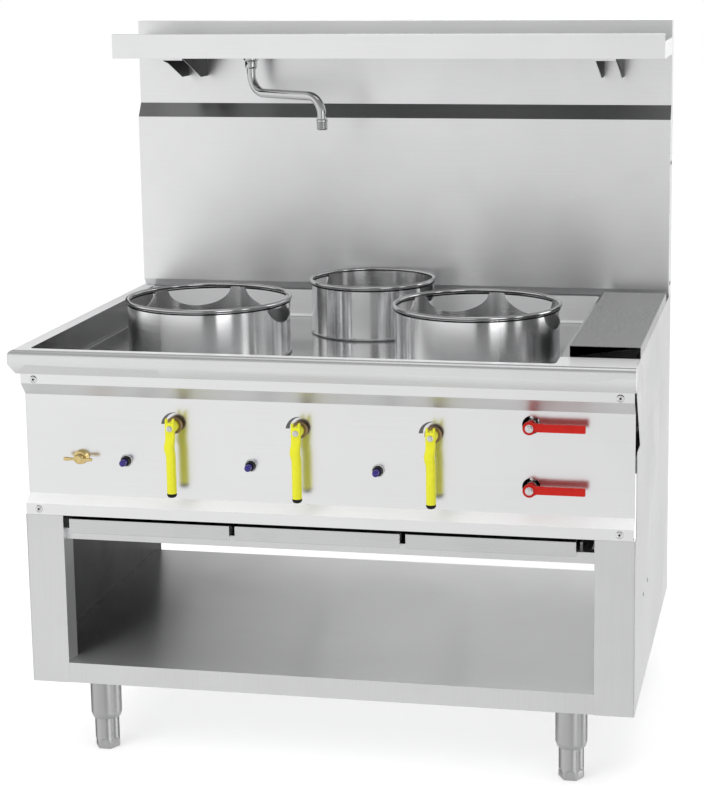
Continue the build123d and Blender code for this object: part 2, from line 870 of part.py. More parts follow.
# ---- Tap: a fixed elbow through the wall shelf, a swivelling spout and its aerator
collar_top = wall_shelf_bottom
collar_bottom = collar_top - tap_collar_height
with BuildPart() as tap_body:
    with BuildLine() as feed_line:
        FilletPolyline(
            (tap_x, inside_back, feed_z),
            (tap_x, tap_y, feed_z),
            (tap_x, tap_y, collar_bottom),
            radius=tap_elbow_radius,
        )
    with BuildSketch(Plane(feed_line.line @ 0, z_dir=feed_line.line % 0)):
        Circle(tap_pipe_radius)
    sweep()
    with BuildSketch(Plane.XY.offset(collar_bottom)):
        with Locations((tap_x, tap_y)):
            Circle(tap_collar_radius)
    extrude(amount=tap_collar_height)
save(tap_body.part, "tap_body")

spout_top = collar_bottom - run_gap
spout_angle = math.radians(spout_turn)
spout_end = (
    tap_x + spout_reach * math.cos(spout_angle),
    tap_y + spout_reach * math.sin(spout_angle),
)
spout_level = spout_top - spout_drop
spout_bottom = spout_top - spout_end_drop
with BuildPart() as tap_spout:
    with BuildLine() as spout_line:
        FilletPolyline(
            (tap_x, tap_y, spout_top),
            (tap_x, tap_y, spout_level),
            (*spout_end, spout_level),
            (*spout_end, spout_bottom),
            radius=spout_bend,
        )
    with BuildSketch(Plane(spout_line.line @ 0, z_dir=spout_line.line % 0)):
        Circle(tap_pipe_radius)
        Circle(tap_pipe_radius - spout_wall, mode=Mode.SUBTRACT)
    sweep()
save(tap_spout.part, "tap_spout")

with BuildPart() as tap_aerator:
    with BuildSketch(Plane.XY.offset(spout_bottom - aerator_height)):
        with Locations(spout_end):
            Circle(aerator_radius)
            Circle(aerator_bore, mode=Mode.SUBTRACT)
    extrude(amount=aerator_height)
    chamfer(tap_aerator.edges().group_by(Axis.Z)[-1], aerator_chamfer)
save(tap_aerator.part, "tap_aerator")

# ---- Control panel: one folded sheet, hooked up behind the nose
panel_left = inside_left
panel_right = right_x - panel_right_gap
gas_valve_x = [ring[0] + shift for ring, shift in zip(rings.values(), gas_valve_shift)]
igniter_x = [x + shift for x, shift in zip(gas_valve_x, igniter_shift)]
igniter_z = rim_z - igniter_drop
water_valve_x = right_x - water_valve_inset
water_valve_z = [rim_z - drop for drop in water_valve_drop]
cock_x = left_x + cock_inset
cock_z = rim_z - cock_drop
igniter_hole = collar_radius - bezel_flange
with BuildPart() as control_panel:
    with BuildSketch(Plane.YZ.offset(panel_left)):
        with BuildLine():
            Polyline(
                (post_y, rim_under),
                (post_y, rim_z - panel_top_lip),
                (panel_y, rim_z - panel_top_fold),
                (panel_y, rim_z - panel_bottom_fold),
                (post_y, rim_z - panel_lip_fold),
                (post_y, panel_foot),
                (post_y + panel_return, panel_foot),
            )
            offset(amount=gauge, side=Side.LEFT)
        make_face()
    extrude(amount=panel_right - panel_left)
    with BuildSketch(Plane.XZ.offset(-panel_y)):
        with Locations([(x, gas_valve_z) for x in gas_valve_x]):
            Circle(stem_radius + stem_hole_margin)
        with Locations([(water_valve_x, z) for z in water_valve_z]):
            Circle(water_hole_radius)
        with Locations([(x, igniter_z) for x in igniter_x]):
            Circle(igniter_hole)
        with Locations((cock_x, cock_z)):
            Circle(wing_hub_radius)
    extrude(amount=-gauge, mode=Mode.SUBTRACT)
save(control_panel.part, "control_panel")

# ---- Gas train
manifold_y = panel_back + valve_body_length / 2
manifold_end = gas_valve_x[-1] + manifold_overhang
with BuildPart() as gas_manifold:
    with BuildSketch(Plane.YZ.offset(inside_left)):
        with Locations((manifold_y, manifold_z)):
            Circle(manifold_radius)
    extrude(amount=manifold_end - inside_left)
    with BuildSketch(Plane.XY.offset(manifold_z)):
        with Locations([(x, manifold_y) for x in gas_valve_x]):
            Circle(manifold_boss_radius)
    extrude(amount=manifold_boss_height)
save(gas_manifold.part, "gas_manifold")

lever_y = behind(lever_plane)
hub_y = behind(hub_front)
with BuildPart() as gas_valves:
    for valve_x in gas_valve_x:
        with BuildSketch(Plane.XZ.offset(-panel_back)):
            with Locations((valve_x, gas_valve_z)):
                Circle(valve_body_radius)
        extrude(amount=-valve_body_length)
        with BuildSketch(Plane.XY.offset(manifold_z + manifold_boss_height)):
            with Locations((valve_x, manifold_y)):
                Circle(inlet_leg_radius)
        extrude(amount=gas_valve_z - manifold_z - manifold_boss_height)
        with BuildSketch(Plane.XZ.offset(-hub_y)):
            with Locations((valve_x, gas_valve_z)):
                Circle(hub_radius)
        extrude(amount=-hub_thickness)
        with BuildSketch(Plane.XZ.offset(-(hub_y + hub_thickness))):
            with Locations((valve_x, gas_valve_z)):
                Circle(stem_radius + stem_hole_margin / 2)
        extrude(amount=-(panel_back - hub_y - hub_thickness))
        with BuildSketch(Plane.XZ.offset(-hub_y)):
            with Locations((valve_x, gas_valve_z)):
                Circle(stem_radius)
        extrude(amount=hub_y - lever_y)
save(gas_valves.part, "gas_valves")

with BuildPart() as feed_pipes:
    for valve_x, (ring_x, ring_y, ring_radius, _) in zip(gas_valve_x, rings.values()):
        drum_radius = ring_radius - hole_margin + chamber_gap
        valve_end = panel_back + valve_body_length
        pipe_end = ring_y - drum_radius - venturi_overhang
        shift = abs(ring_x - valve_x)
        with BuildLine() as feed_route:
            FilletPolyline(
                (valve_x, valve_end, gas_valve_z),
                (valve_x, valve_end + feed_bend, gas_valve_z),
                (ring_x, valve_end + feed_bend + shift, gas_valve_z),
                (ring_x, pipe_end, gas_valve_z),
                radius=feed_bend,
            )
        with BuildSketch(Plane(feed_route.line @ 0, z_dir=feed_route.line % 0)):
            Circle(feed_radius)
        sweep(path=feed_route.line)
save(feed_pipes.part, "feed_pipes")


def across(valve_x, valve_z, offset_y):
    """A sketch plane facing the cook, with its origin on a handle's axis."""
    return Plane((valve_x, offset_y, valve_z), x_dir=(1, 0, 0), z_dir=(0, -1, 0))


# ---- Yellow gas levers: flattened tube with a forked head, its end cap and its nut
for side, valve_x in zip(rings, gas_valve_x):
    front = across(valve_x, gas_valve_z, lever_y)
    with BuildPart() as lever:
        with BuildSketch(Plane((valve_x, lever_y, gas_valve_z - lever_length))):
            Circle(lever_radius)
        extrude(amount=lever_length - lever_bulge_drop)
        with BuildSketch(Plane((valve_x, lever_y, gas_valve_z - lever_bulge_drop))):
            Circle(lever_radius)
        with BuildSketch(Plane((valve_x, lever_y, gas_valve_z - lever_radius))):
            Rectangle(2 * lever_radius, lever_head_thickness)
        loft()
        with BuildSketch(front):
            with BuildLine():
                Polyline(
                    (-lever_radius, -lever_radius),
                    (lever_radius, -lever_radius),
                    (lever_radius, lever_rise),
                    (lever_radius / 2, lever_rise * lever_fork_share),
                    (-lever_radius / 2, lever_rise * lever_fork_share),
                    (-lever_radius, lever_rise),
                    close=True,
                )
            make_face()
        extrude(amount=lever_head_thickness / 2, both=True)
        with BuildSketch(front):
            Circle(lever_hub_radius)
        extrude(amount=-(hub_front - lever_plane - run_gap))
        # swelling of the tube, where the fingers stop
        with BuildSketch(front):
            with Locations((-(lever_bulge - lever_radius), -lever_bulge_drop)):
                Ellipse(lever_radius, lever_bulge_length / 2)
        extrude(amount=lever_head_thickness / 2, both=True)
        with BuildSketch(front):
            Circle(stem_radius + stem_fit)
        extrude(amount=-(hub_front - lever_plane), mode=Mode.SUBTRACT)
        with BuildSketch(front):
            Circle(stem_radius + stem_fit)
        extrude(amount=run_gap, mode=Mode.SUBTRACT)
    save(lever.part, f"{side}_gas_lever")

    with BuildPart() as cap:
        with BuildSketch(Plane((valve_x, lever_y, gas_valve_z - lever_length - cap_length))):
            Circle(lever_radius)
        extrude(amount=cap_length)
        fillet(cap.edges().group_by(Axis.Z)[0], cap_length / 3)
    save(cap.part, f"{side}_lever_cap")

    with BuildPart() as nut:
        with BuildSketch(across(valve_x, gas_valve_z, lever_y - lever_head_thickness / 2)):
            RegularPolygon(lever_nut_radius, 6, major_radius=False)
        extrude(amount=lever_nut_height)
        chamfer(nut.edges().group_by(Axis.Y)[0], nut_chamfer)
    save(nut.part, f"{side}_lever_nut")

# ---- Water valves and their red levers
water_y = behind(water_body_setback)
with BuildPart() as water_valves:
    # riser between the two
    with BuildSketch(Plane((water_valve_x, water_y, water_valve_z[1]))):
        Circle(water_pipe_radius)
    extrude(amount=water_valve_z[0] - water_valve_z[1])
    for valve_z in water_valve_z:
        valve_plane = across(water_valve_x, valve_z, water_y)
        with BuildSketch(Plane((water_valve_x, water_y, valve_z - water_body_height / 2))):
            Circle(water_body_radius)
        extrude(amount=water_body_height)
        with BuildSketch(valve_plane):
            Circle(stem_radius)
        extrude(amount=water_body_setback - red_plane)
        with BuildSketch(valve_plane):
            Circle(water_neck_radius)
        extrude(amount=water_body_setback - panel_face)
save(water_valves.part, "water_valves")

red_foot = -red_hub_radius / 2  # lower edge of the bar, from the pivot
for position, valve_z in zip(("upper", "lower"), water_valve_z):
    front = across(water_valve_x, valve_z, behind(red_plane))
    with BuildPart() as red_lever:
        with BuildSketch(front):
            with BuildLine():
                Polyline(
                    (0, red_foot),
                    (red_length, red_foot),
                    (red_length, red_foot + red_bar_height),
                    (red_shoulder_length, red_foot + red_bar_height),
                    (red_hub_radius / 2, red_shoulder_height),
                    close=True,
                )
            make_face()
            Circle(red_hub_radius)
        extrude(amount=red_thickness / 2, both=True)
        with BuildSketch(front):
            Circle(red_boss_radius)
        extrude(amount=-(panel_face - red_plane))
        with BuildSketch(front):
            Circle(stem_radius + stem_fit)
        extrude(amount=-(water_body_setback - red_plane), mode=Mode.SUBTRACT)
        with BuildSketch(front):
            Circle(stem_radius + stem_fit)
        extrude(amount=run_gap, mode=Mode.SUBTRACT)
    save(red_lever.part, f"{position}_water_lever")

    with BuildPart() as red_nut:
        with BuildSketch(across(water_valve_x, valve_z, behind(red_plane) - red_thickness / 2)):
            RegularPolygon(red_nut_across / 2, 6, major_radius=False)
        extrude(amount=red_nut_height)
        chamfer(red_nut.edges().group_by(Axis.Y)[0], nut_chamfer)
    save(red_nut.part, f"{position}_lever_nut")

# ---- Igniters: bezel screwed into the panel, push button in its bore
with BuildPart() as igniter_bezels:
    for x in igniter_x:
        face = across(x, igniter_z, panel_y)
        with BuildSketch(face):
            Circle(bezel_radius)
        extrude(amount=bezel_flange)
        with BuildSketch(face):
            Circle(collar_radius)
        extrude(amount=collar_length)
        with BuildSketch(face):
            Circle(igniter_hole)
        extrude(amount=-bezel_body_length)
        with BuildSketch(across(x, igniter_z, panel_y - collar_length)):
            Circle(button_radius + button_fit)
        extrude(amount=-(collar_length + bezel_body_length - bezel_flange), mode=Mode.SUBTRACT)
save(igniter_bezels.part, "igniter_bezels")

bore_bottom = panel_face + bezel_body_length - bezel_flange
button_length = bore_bottom - button_tip - button_travel - button_inner_gap
for side, x in zip(rings, igniter_x):
    with BuildPart() as button:
        with BuildSketch(across(x, igniter_z, behind(button_tip))):
            Circle(button_radius)
        extrude(amount=-button_length)
        fillet(button.edges().group_by(Axis.Y)[0], button_round)
    save(button.part, f"{side}_igniter_button")

# ---- Pilot cock: brass body and wing handle
with BuildPart() as pilot_cock:
    cock_face = across(cock_x, cock_z, panel_y)
    with BuildSketch(cock_face):
        Circle(cock_radius)
    extrude(amount=cock_boss_length)
    with BuildSketch(cock_face):
        Circle(wing_hub_radius)
    extrude(amount=-cock_body_length)
    with BuildSketch(cock_face):
        Circle(stem_radius)
    extrude(amount=panel_face - wing_plane)
save(pilot_cock.part, "pilot_cock")

with BuildPart() as cock_handle:
    wing_face = across(cock_x, cock_z, behind(wing_plane))
    with BuildSketch(wing_face):
        SlotOverall(wing_span, wing_height)
    extrude(amount=wing_thickness)
    with BuildSketch(wing_face):
        Circle(wing_hub_radius)
    extrude(amount=wing_thickness)
    with BuildSketch(wing_face):
        Circle(wing_hub_radius)
    extrude(amount=-(panel_face - wing_plane - cock_boss_length - run_gap))
    with BuildSketch(wing_face):
        Circle(stem_radius + stem_fit)
    extrude(amount=-(panel_face - wing_plane), mode=Mode.SUBTRACT)
    with BuildSketch(wing_face):
        Circle(stem_radius + stem_fit)
    extrude(amount=run_gap, mode=Mode.SUBTRACT)
save(cock_handle.part, "cock_handle")

# ---- Deck cover: flanged plate, open at the front, lifts straight off
cover_foot = rim_z + run_gap
with BuildPart() as deck_cover:
    with BuildSketch(Plane.XY.offset(cover_foot)):
        with Locations(((cover_left + right_x) / 2, behind(cover_front + cover_depth / 2))):
            Rectangle(cover_width, cover_depth)
    extrude(amount=cover_height)
    offset(
        amount=-gauge,
        openings=[deck_cover.faces().sort_by(Axis.Z)[0], deck_cover.faces().sort_by(Axis.Y)[0]],
    )
save(deck_cover.part, "deck_cover")

# ---- Visible fasteners
with BuildPart() as case_screws:
    panel_screw_places = (
        (panel_left + panel_screw_inset, rim_z - panel_screw_rise[0]),
        (panel_right - panel_screw_inset, rim_z - panel_screw_rise[0]),
        (panel_left + panel_screw_inset, rim_z - panel_screw_rise[1]),
        (panel_right - panel_screw_inset, rim_z - panel_screw_rise[1]),
    )
    for x, z in panel_screw_places:
        with BuildSketch(across(x, z, post_y)):
            Circle(cup_washer_radius)
        extrude(amount=cup_washer_height, taper=screw_slope)
    side_places = [(behind(y), side_screw_z) for y in side_screw_y]
    for rise in splash_screw_rise:
        z = rim_z + rise
        middle = back_y - splash_stand / 2
        side_places += [(middle - splash_screw_pitch / 2, z), (middle + splash_screw_pitch / 2, z)]
    for y, z in side_places:
        with BuildSketch(Plane.YZ.offset(right_x)):
            with Locations((y, z)):
                Circle(side_screw_radius)
        extrude(amount=screw_head_height, taper=screw_slope)
        with BuildSketch(Plane.YZ.offset(body_left)):
            with Locations((y, z)):
                Circle(side_screw_radius)
        extrude(amount=-screw_head_height, taper=screw_slope)
save(case_screws.part, "case_screws")

# ---- Services: gas and water inlets through the rear sheet, basin drain
def inlet_pipe(points, radius, bend):
    """A pipe along the points to the rear sheet, with a threaded and bored tail outside it."""
    tail_x, _, tail_z = points[-1]
    tail_face = Plane((tail_x, back_y, tail_z), x_dir=(1, 0, 0), z_dir=(0, 1, 0))
    with BuildPart() as pipe:
        with BuildLine() as route:
            FilletPolyline(*points, radius=bend)
        with BuildSketch(Plane(route.line @ 0, z_dir=route.line % 0)):
            Circle(radius)
        sweep(path=route.line)
        with BuildSketch(tail_face):
            Circle(inlet_radius)
        extrude(amount=inlet_projection)
        with BuildSketch(tail_face.offset(inlet_projection)):
            Circle(inlet_bore)
        extrude(amount=-2 * inlet_projection, mode=Mode.SUBTRACT)
    return pipe.part


gas_turn_x = manifold_end + gas_turn_run
gas_route = (
    (manifold_end, manifold_y, manifold_z),
    (gas_turn_x, manifold_y, manifold_z),
    (gas_turn_x, behind(gas_pipe_setback), manifold_z),
    (gas_inlet_x, behind(gas_pipe_setback), manifold_z),
    (gas_inlet_x, back_y, manifold_z),
)
save(inlet_pipe(gas_route, gas_pipe_radius, service_bend), "gas_inlet")

lower_valve_foot = water_valve_z[1] - water_body_height / 2
water_route = (
    (water_valve_x, water_y, lower_valve_foot),
    (water_valve_x, water_y, water_inlet_z),
    (water_inlet_x, water_y, water_inlet_z),
    (water_inlet_x, back_y, water_inlet_z),
)
save(inlet_pipe(water_route, water_pipe_radius, service_bend), "water_inlet")

with BuildPart() as basin_drain:
    with BuildSketch(Plane((drain_x, drain_y, basin_under))):
        Circle(drain_radius + drain_flange)
        Circle(drain_bore, mode=Mode.SUBTRACT)
    extrude(amount=-gauge)
    with BuildSketch(Plane((drain_x, drain_y, basin_under - gauge))):
        Circle(drain_radius)
        Circle(drain_bore, mode=Mode.SUBTRACT)
    extrude(amount=-drain_length)
save(basin_drain.part, "basin_drain")
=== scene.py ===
"""Dresses a three-ring wok range for its picture.

The packed CAD model is the frame, and every piece here is built in metres in that same frame.
Each piece or group of like pieces has an operator of its own, listed in the panel.
"""

import math
from functools import partial

import bmesh
import bpy
from mathutils import Matrix, Vector


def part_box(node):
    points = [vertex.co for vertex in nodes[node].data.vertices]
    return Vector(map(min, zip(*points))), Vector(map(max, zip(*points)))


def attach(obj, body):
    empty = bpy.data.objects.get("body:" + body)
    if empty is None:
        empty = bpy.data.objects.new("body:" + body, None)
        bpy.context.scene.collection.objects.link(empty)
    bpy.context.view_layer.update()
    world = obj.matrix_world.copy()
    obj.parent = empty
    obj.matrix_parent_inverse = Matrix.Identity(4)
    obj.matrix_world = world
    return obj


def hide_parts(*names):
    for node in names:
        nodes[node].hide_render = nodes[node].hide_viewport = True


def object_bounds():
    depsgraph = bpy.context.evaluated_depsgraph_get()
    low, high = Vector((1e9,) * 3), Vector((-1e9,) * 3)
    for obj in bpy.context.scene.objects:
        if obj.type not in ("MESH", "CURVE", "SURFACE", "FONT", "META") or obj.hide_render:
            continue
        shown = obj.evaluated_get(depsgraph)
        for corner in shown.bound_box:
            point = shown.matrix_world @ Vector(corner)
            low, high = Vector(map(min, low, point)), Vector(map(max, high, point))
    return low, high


bl_info = {
    "name": "Wok range dressing",
    "version": (1, 0, 0),
    "blender": (4, 5, 0),
    "location": "View3D > Sidebar > Wok range",
    "description": "Builds the visible pieces of a three-ring wok range around its CAD frame",
    "category": "Object",
}

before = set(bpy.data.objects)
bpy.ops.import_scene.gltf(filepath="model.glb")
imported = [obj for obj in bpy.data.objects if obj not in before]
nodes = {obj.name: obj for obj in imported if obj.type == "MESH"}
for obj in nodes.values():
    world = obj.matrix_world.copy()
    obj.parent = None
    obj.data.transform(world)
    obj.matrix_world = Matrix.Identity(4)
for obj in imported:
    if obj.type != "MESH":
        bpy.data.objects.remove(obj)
cad_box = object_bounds()

SIDES = ("left", "centre", "right")
UP, BACK, FRONT = (0, 0, 1), (0, 1, 0), (0, -1, 0)
WHITE = (1, 1, 1, 1)


def centre_of(node):
    """The middle of a CAD node's box."""
    low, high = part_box(node)
    return (low + high) / 2


def panel_face():
    """The control panel's front face on Y; the igniters' collars stand 12 mm proud of it."""
    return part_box("igniter_bezels")[0].y + 0.012


def mm(*values):
    """Pairs in metres, such as a profile's radii and distances, from a row of millimetres."""
    return [(first * 0.001, second * 0.001) for first, second in zip(values[::2], values[1::2])]


def circle_turns(steps):
    """The angles of a circle's even steps."""
    return [math.tau * step / steps for step in range(steps)]


def add_object(name, data):
    """A new object in the scene."""
    made = bpy.data.objects.new(name, data)
    bpy.context.scene.collection.objects.link(made)
    return made


# ---------------------------------------------------------------- nodes
def connect(tree, inputs, values):
    """Gives inputs, by name or number, their values or their links."""
    for label, value in values.items():
        if isinstance(value, bpy.types.NodeSocket):
            tree.links.new(value, inputs[label])
        else:
            inputs[label].default_value = value


def add_node(tree, kind, values=None, **settings):
    """Adds a node with its settings and inputs, and gives its outputs."""
    node = tree.nodes.new(kind)
    for key, value in settings.items():
        setattr(node, key, value)
    connect(tree, node.inputs, values or {})
    return node.outputs


def new_tree(kind, name, inputs, outputs):
    """An empty node group, with the outputs of its entry and the inputs of its end."""
    tree = bpy.data.node_groups.new(name, kind)
    for label, socket_type, default in inputs:
        socket = tree.interface.new_socket(
            name=label, in_out="INPUT", socket_type=f"NodeSocket{socket_type}"
        )
        if default is not None:
            socket.default_value = default
    for label, socket_type in outputs:
        tree.interface.new_socket(
            name=label, in_out="OUTPUT", socket_type=f"NodeSocket{socket_type}"
        )
    return tree, add_node(tree, "NodeGroupInput"), tree.nodes.new("NodeGroupOutput").inputs


def maths(tree, operation, *values):
    """A Math node on values or sockets."""
    return add_node(tree, "ShaderNodeMath", dict(enumerate(values)), operation=operation)[0]


def mix_colours(tree, factor, first, second):
    """A colour Mix node between two sockets or two colours."""
    values = {"Factor": factor, 6: first, 7: second}
    return add_node(tree, "ShaderNodeMix", values, data_type="RGBA")[2]


def mapped_range(tree, value, *bounds):
    """A Map Range node on a value; its four bounds are numbers or sockets."""
    values = dict(zip(("Value", "From Min", "From Max", "To Min", "To Max"), (value, *bounds)))
    return add_node(tree, "ShaderNodeMapRange", values)["Result"]


def noise(tree, vector, scale, detail=3.0, roughness=0.5, distortion=0.0):
    """A noise texture's value on a vector socket."""
    values = {
        "Vector": vector, "Scale": scale, "Detail": detail, "Roughness": roughness,
        "Distortion": distortion,
    }
    return add_node(tree, "ShaderNodeTexNoise", values)["Fac"]


def grey_ramp(tree, value, stops):
    """A colour ramp of greys on a value; each stop is a place from 0 to 1 and a brightness."""
    node = tree.nodes.new("ShaderNodeValToRGB")
    elements = node.color_ramp.elements
    for index, (place, grey) in enumerate(stops):
        stop = elements[index] if index < 2 else elements.new(place)
        stop.position = place
        stop.color = (grey, grey, grey, 1)
    tree.links.new(value, node.inputs[0])
    return node.outputs[0]


# ---------------------------------------------------------------- finishes
def build_brushed_grain():
    """Fine grain stretched along one axis, with slow clouds over it, as a belt leaves on sheet."""
    tree, entry, leaving = new_tree(
        "ShaderNodeTree", "Brushed grain",
        (
            ("Stretch", "Vector", (3.0, 3.0, 220.0)), ("Dark", "Color", (0.5, 0.5, 0.5, 1)),
            ("Light", "Color", (0.7, 0.7, 0.7, 1)), ("Smooth", "Float", 0.2),
            ("Rough", "Float", 0.35),
        ),
        (("Colour", "Color"), ("Roughness", "Float"), ("Height", "Float")),
    )
    place = add_node(tree, "ShaderNodeTexCoord")["Object"]
    values = {0: place, 1: entry["Stretch"]}
    stretched = add_node(tree, "ShaderNodeVectorMath", values, operation="MULTIPLY")["Vector"]
    grain = noise(tree, stretched, 1.0, 4.0, 0.65)
    fine = mapped_range(tree, grain, 0.3, 0.7, 0.0, 1.0)
    slow = mapped_range(tree, noise(tree, place, 3.1, 2.0), 0.3, 0.7, 0.0, 0.4)
    mixed = maths(tree, "MULTIPLY_ADD", fine, 0.6, slow)
    colour = mix_colours(tree, mixed, entry["Dark"], entry["Light"])
    rough = mapped_range(tree, mixed, 0.0, 1.0, entry["Smooth"], entry["Rough"])
    connect(tree, leaving, {"Colour": colour, "Roughness": rough, "Height": grain})
    return tree


def build_smudges():
    """Slow blotches, such as finger marks and dried water: a mask from 0 to 1."""
    tree, entry, leaving = new_tree(
        "ShaderNodeTree", "Smudges",
        (("Scale", "Float", 14.0), ("Amount", "Float", 0.5)),
        (("Mask", "Float"), ("Height", "Float")),
    )
    place = add_node(tree, "ShaderNodeTexCoord")["Object"]
    blotch = noise(tree, place, entry["Scale"], 5.0, 0.5, 0.6)
    shaped = mapped_range(tree, blotch, 0.42, 0.7, 0.0, 1.0)
    mask = maths(tree, "MULTIPLY", shaped, entry["Amount"])
    connect(tree, leaving, {"Mask": mask, "Height": blotch})
    return tree


GRAIN, SMUDGES = build_brushed_grain(), build_smudges()


def new_material(name):
    """A material with nodes, its node tree and its Principled shader."""
    material = bpy.data.materials.new(name)
    material.use_nodes = True
    return material, material.node_tree, material.node_tree.nodes["Principled BSDF"]


def bump_from(tree, height, strength, distance):
    """A Bump node on a height, for a shader's Normal."""
    values = {"Strength": strength, "Distance": distance, "Height": height}
    return add_node(tree, "ShaderNodeBump", values)["Normal"]


def steel(
    name, dark, light, smooth, rough, stretch,
    grain=0.12, smudge=0.0, metallic=1.0, tint=(1.0, 1.002, 1.008), streak=0.0, lay=None,
):
    """Metal with a grain along one axis; dark and light are its greys, and tint colours them."""
    material, tree, shader = new_material(name)
    deep, bright = (tuple(value * part for part in tint) + (1,) for value in (dark, light))
    values = {"Stretch": stretch, "Dark": deep, "Light": bright, "Smooth": smooth, "Rough": rough}
    group = add_node(tree, "ShaderNodeGroup", values, node_tree=GRAIN)
    colour, roughness = group["Colour"], group["Roughness"]
    if smudge:
        values = {"Scale": 9.0, "Amount": smudge}
        mask = add_node(tree, "ShaderNodeGroup", values, node_tree=SMUDGES)["Mask"]
        stain = tuple(0.82 * part for part in deep[:3]) + (1,)
        colour = mix_colours(tree, mask, colour, stain)
        roughness = mapped_range(tree, mask, 0.0, 1.0, roughness, rough * 1.3)
    connect(tree, shader.inputs, {
        "Base Color": colour, "Roughness": roughness, "Metallic": metallic,
        # reflections are drawn out upright, across a grain that runs level
        "Anisotropic": streak, "Anisotropic Rotation": 0.25,
        "Normal": bump_from(tree, group["Height"], grain, 0.0003),
    })
    if lay:
        # a level sheet's grain lies along one axis; without this it would run round the middle
        along = add_node(tree, "ShaderNodeTangent", direction_type="RADIAL", axis=lay)
        tree.links.new(along["Tangent"], shader.inputs["Tangent"])
    return material


def enamel(name, colour, deep, roughness, coat, texture=0.05, scale=160.0, gloss=0.5):
    """A coloured coating or plastic: its colour drifts a little and its skin has a fine texture."""
    material, tree, shader = new_material(name)
    values = {"Scale": scale, "Amount": 0.6}
    marks = add_node(tree, "ShaderNodeGroup", values, node_tree=SMUDGES)
    connect(tree, shader.inputs, {
        "Base Color": mix_colours(tree, marks["Mask"], (*colour, 1), (*deep, 1)),
        "Roughness": mapped_range(tree, marks["Mask"], 0.0, 1.0, roughness, roughness * 1.35),
        "Specular IOR Level": gloss, "Coat Weight": coat, "Coat Roughness": 0.12,
        "Normal": bump_from(tree, marks["Height"], texture, 0.0006),
    })
    return material


ALONG_X = (4.0, 900.0, 900.0)  # grain that runs from side to side
ALONG_Y = (900.0, 4.0, 900.0)
UPRIGHT = (900.0, 900.0, 4.0)
COARSE_Y = (300.0, 4.0, 300.0)
FINE = (240.0, 240.0, 240.0)
ROUND = (6.0, 6.0, 700.0)  # grain that runs level round an upright ring
HUB_TINT, NEW = (1.0, 0.7, 0.36), (1.0, 0.78, 0.36)  # tints of brass

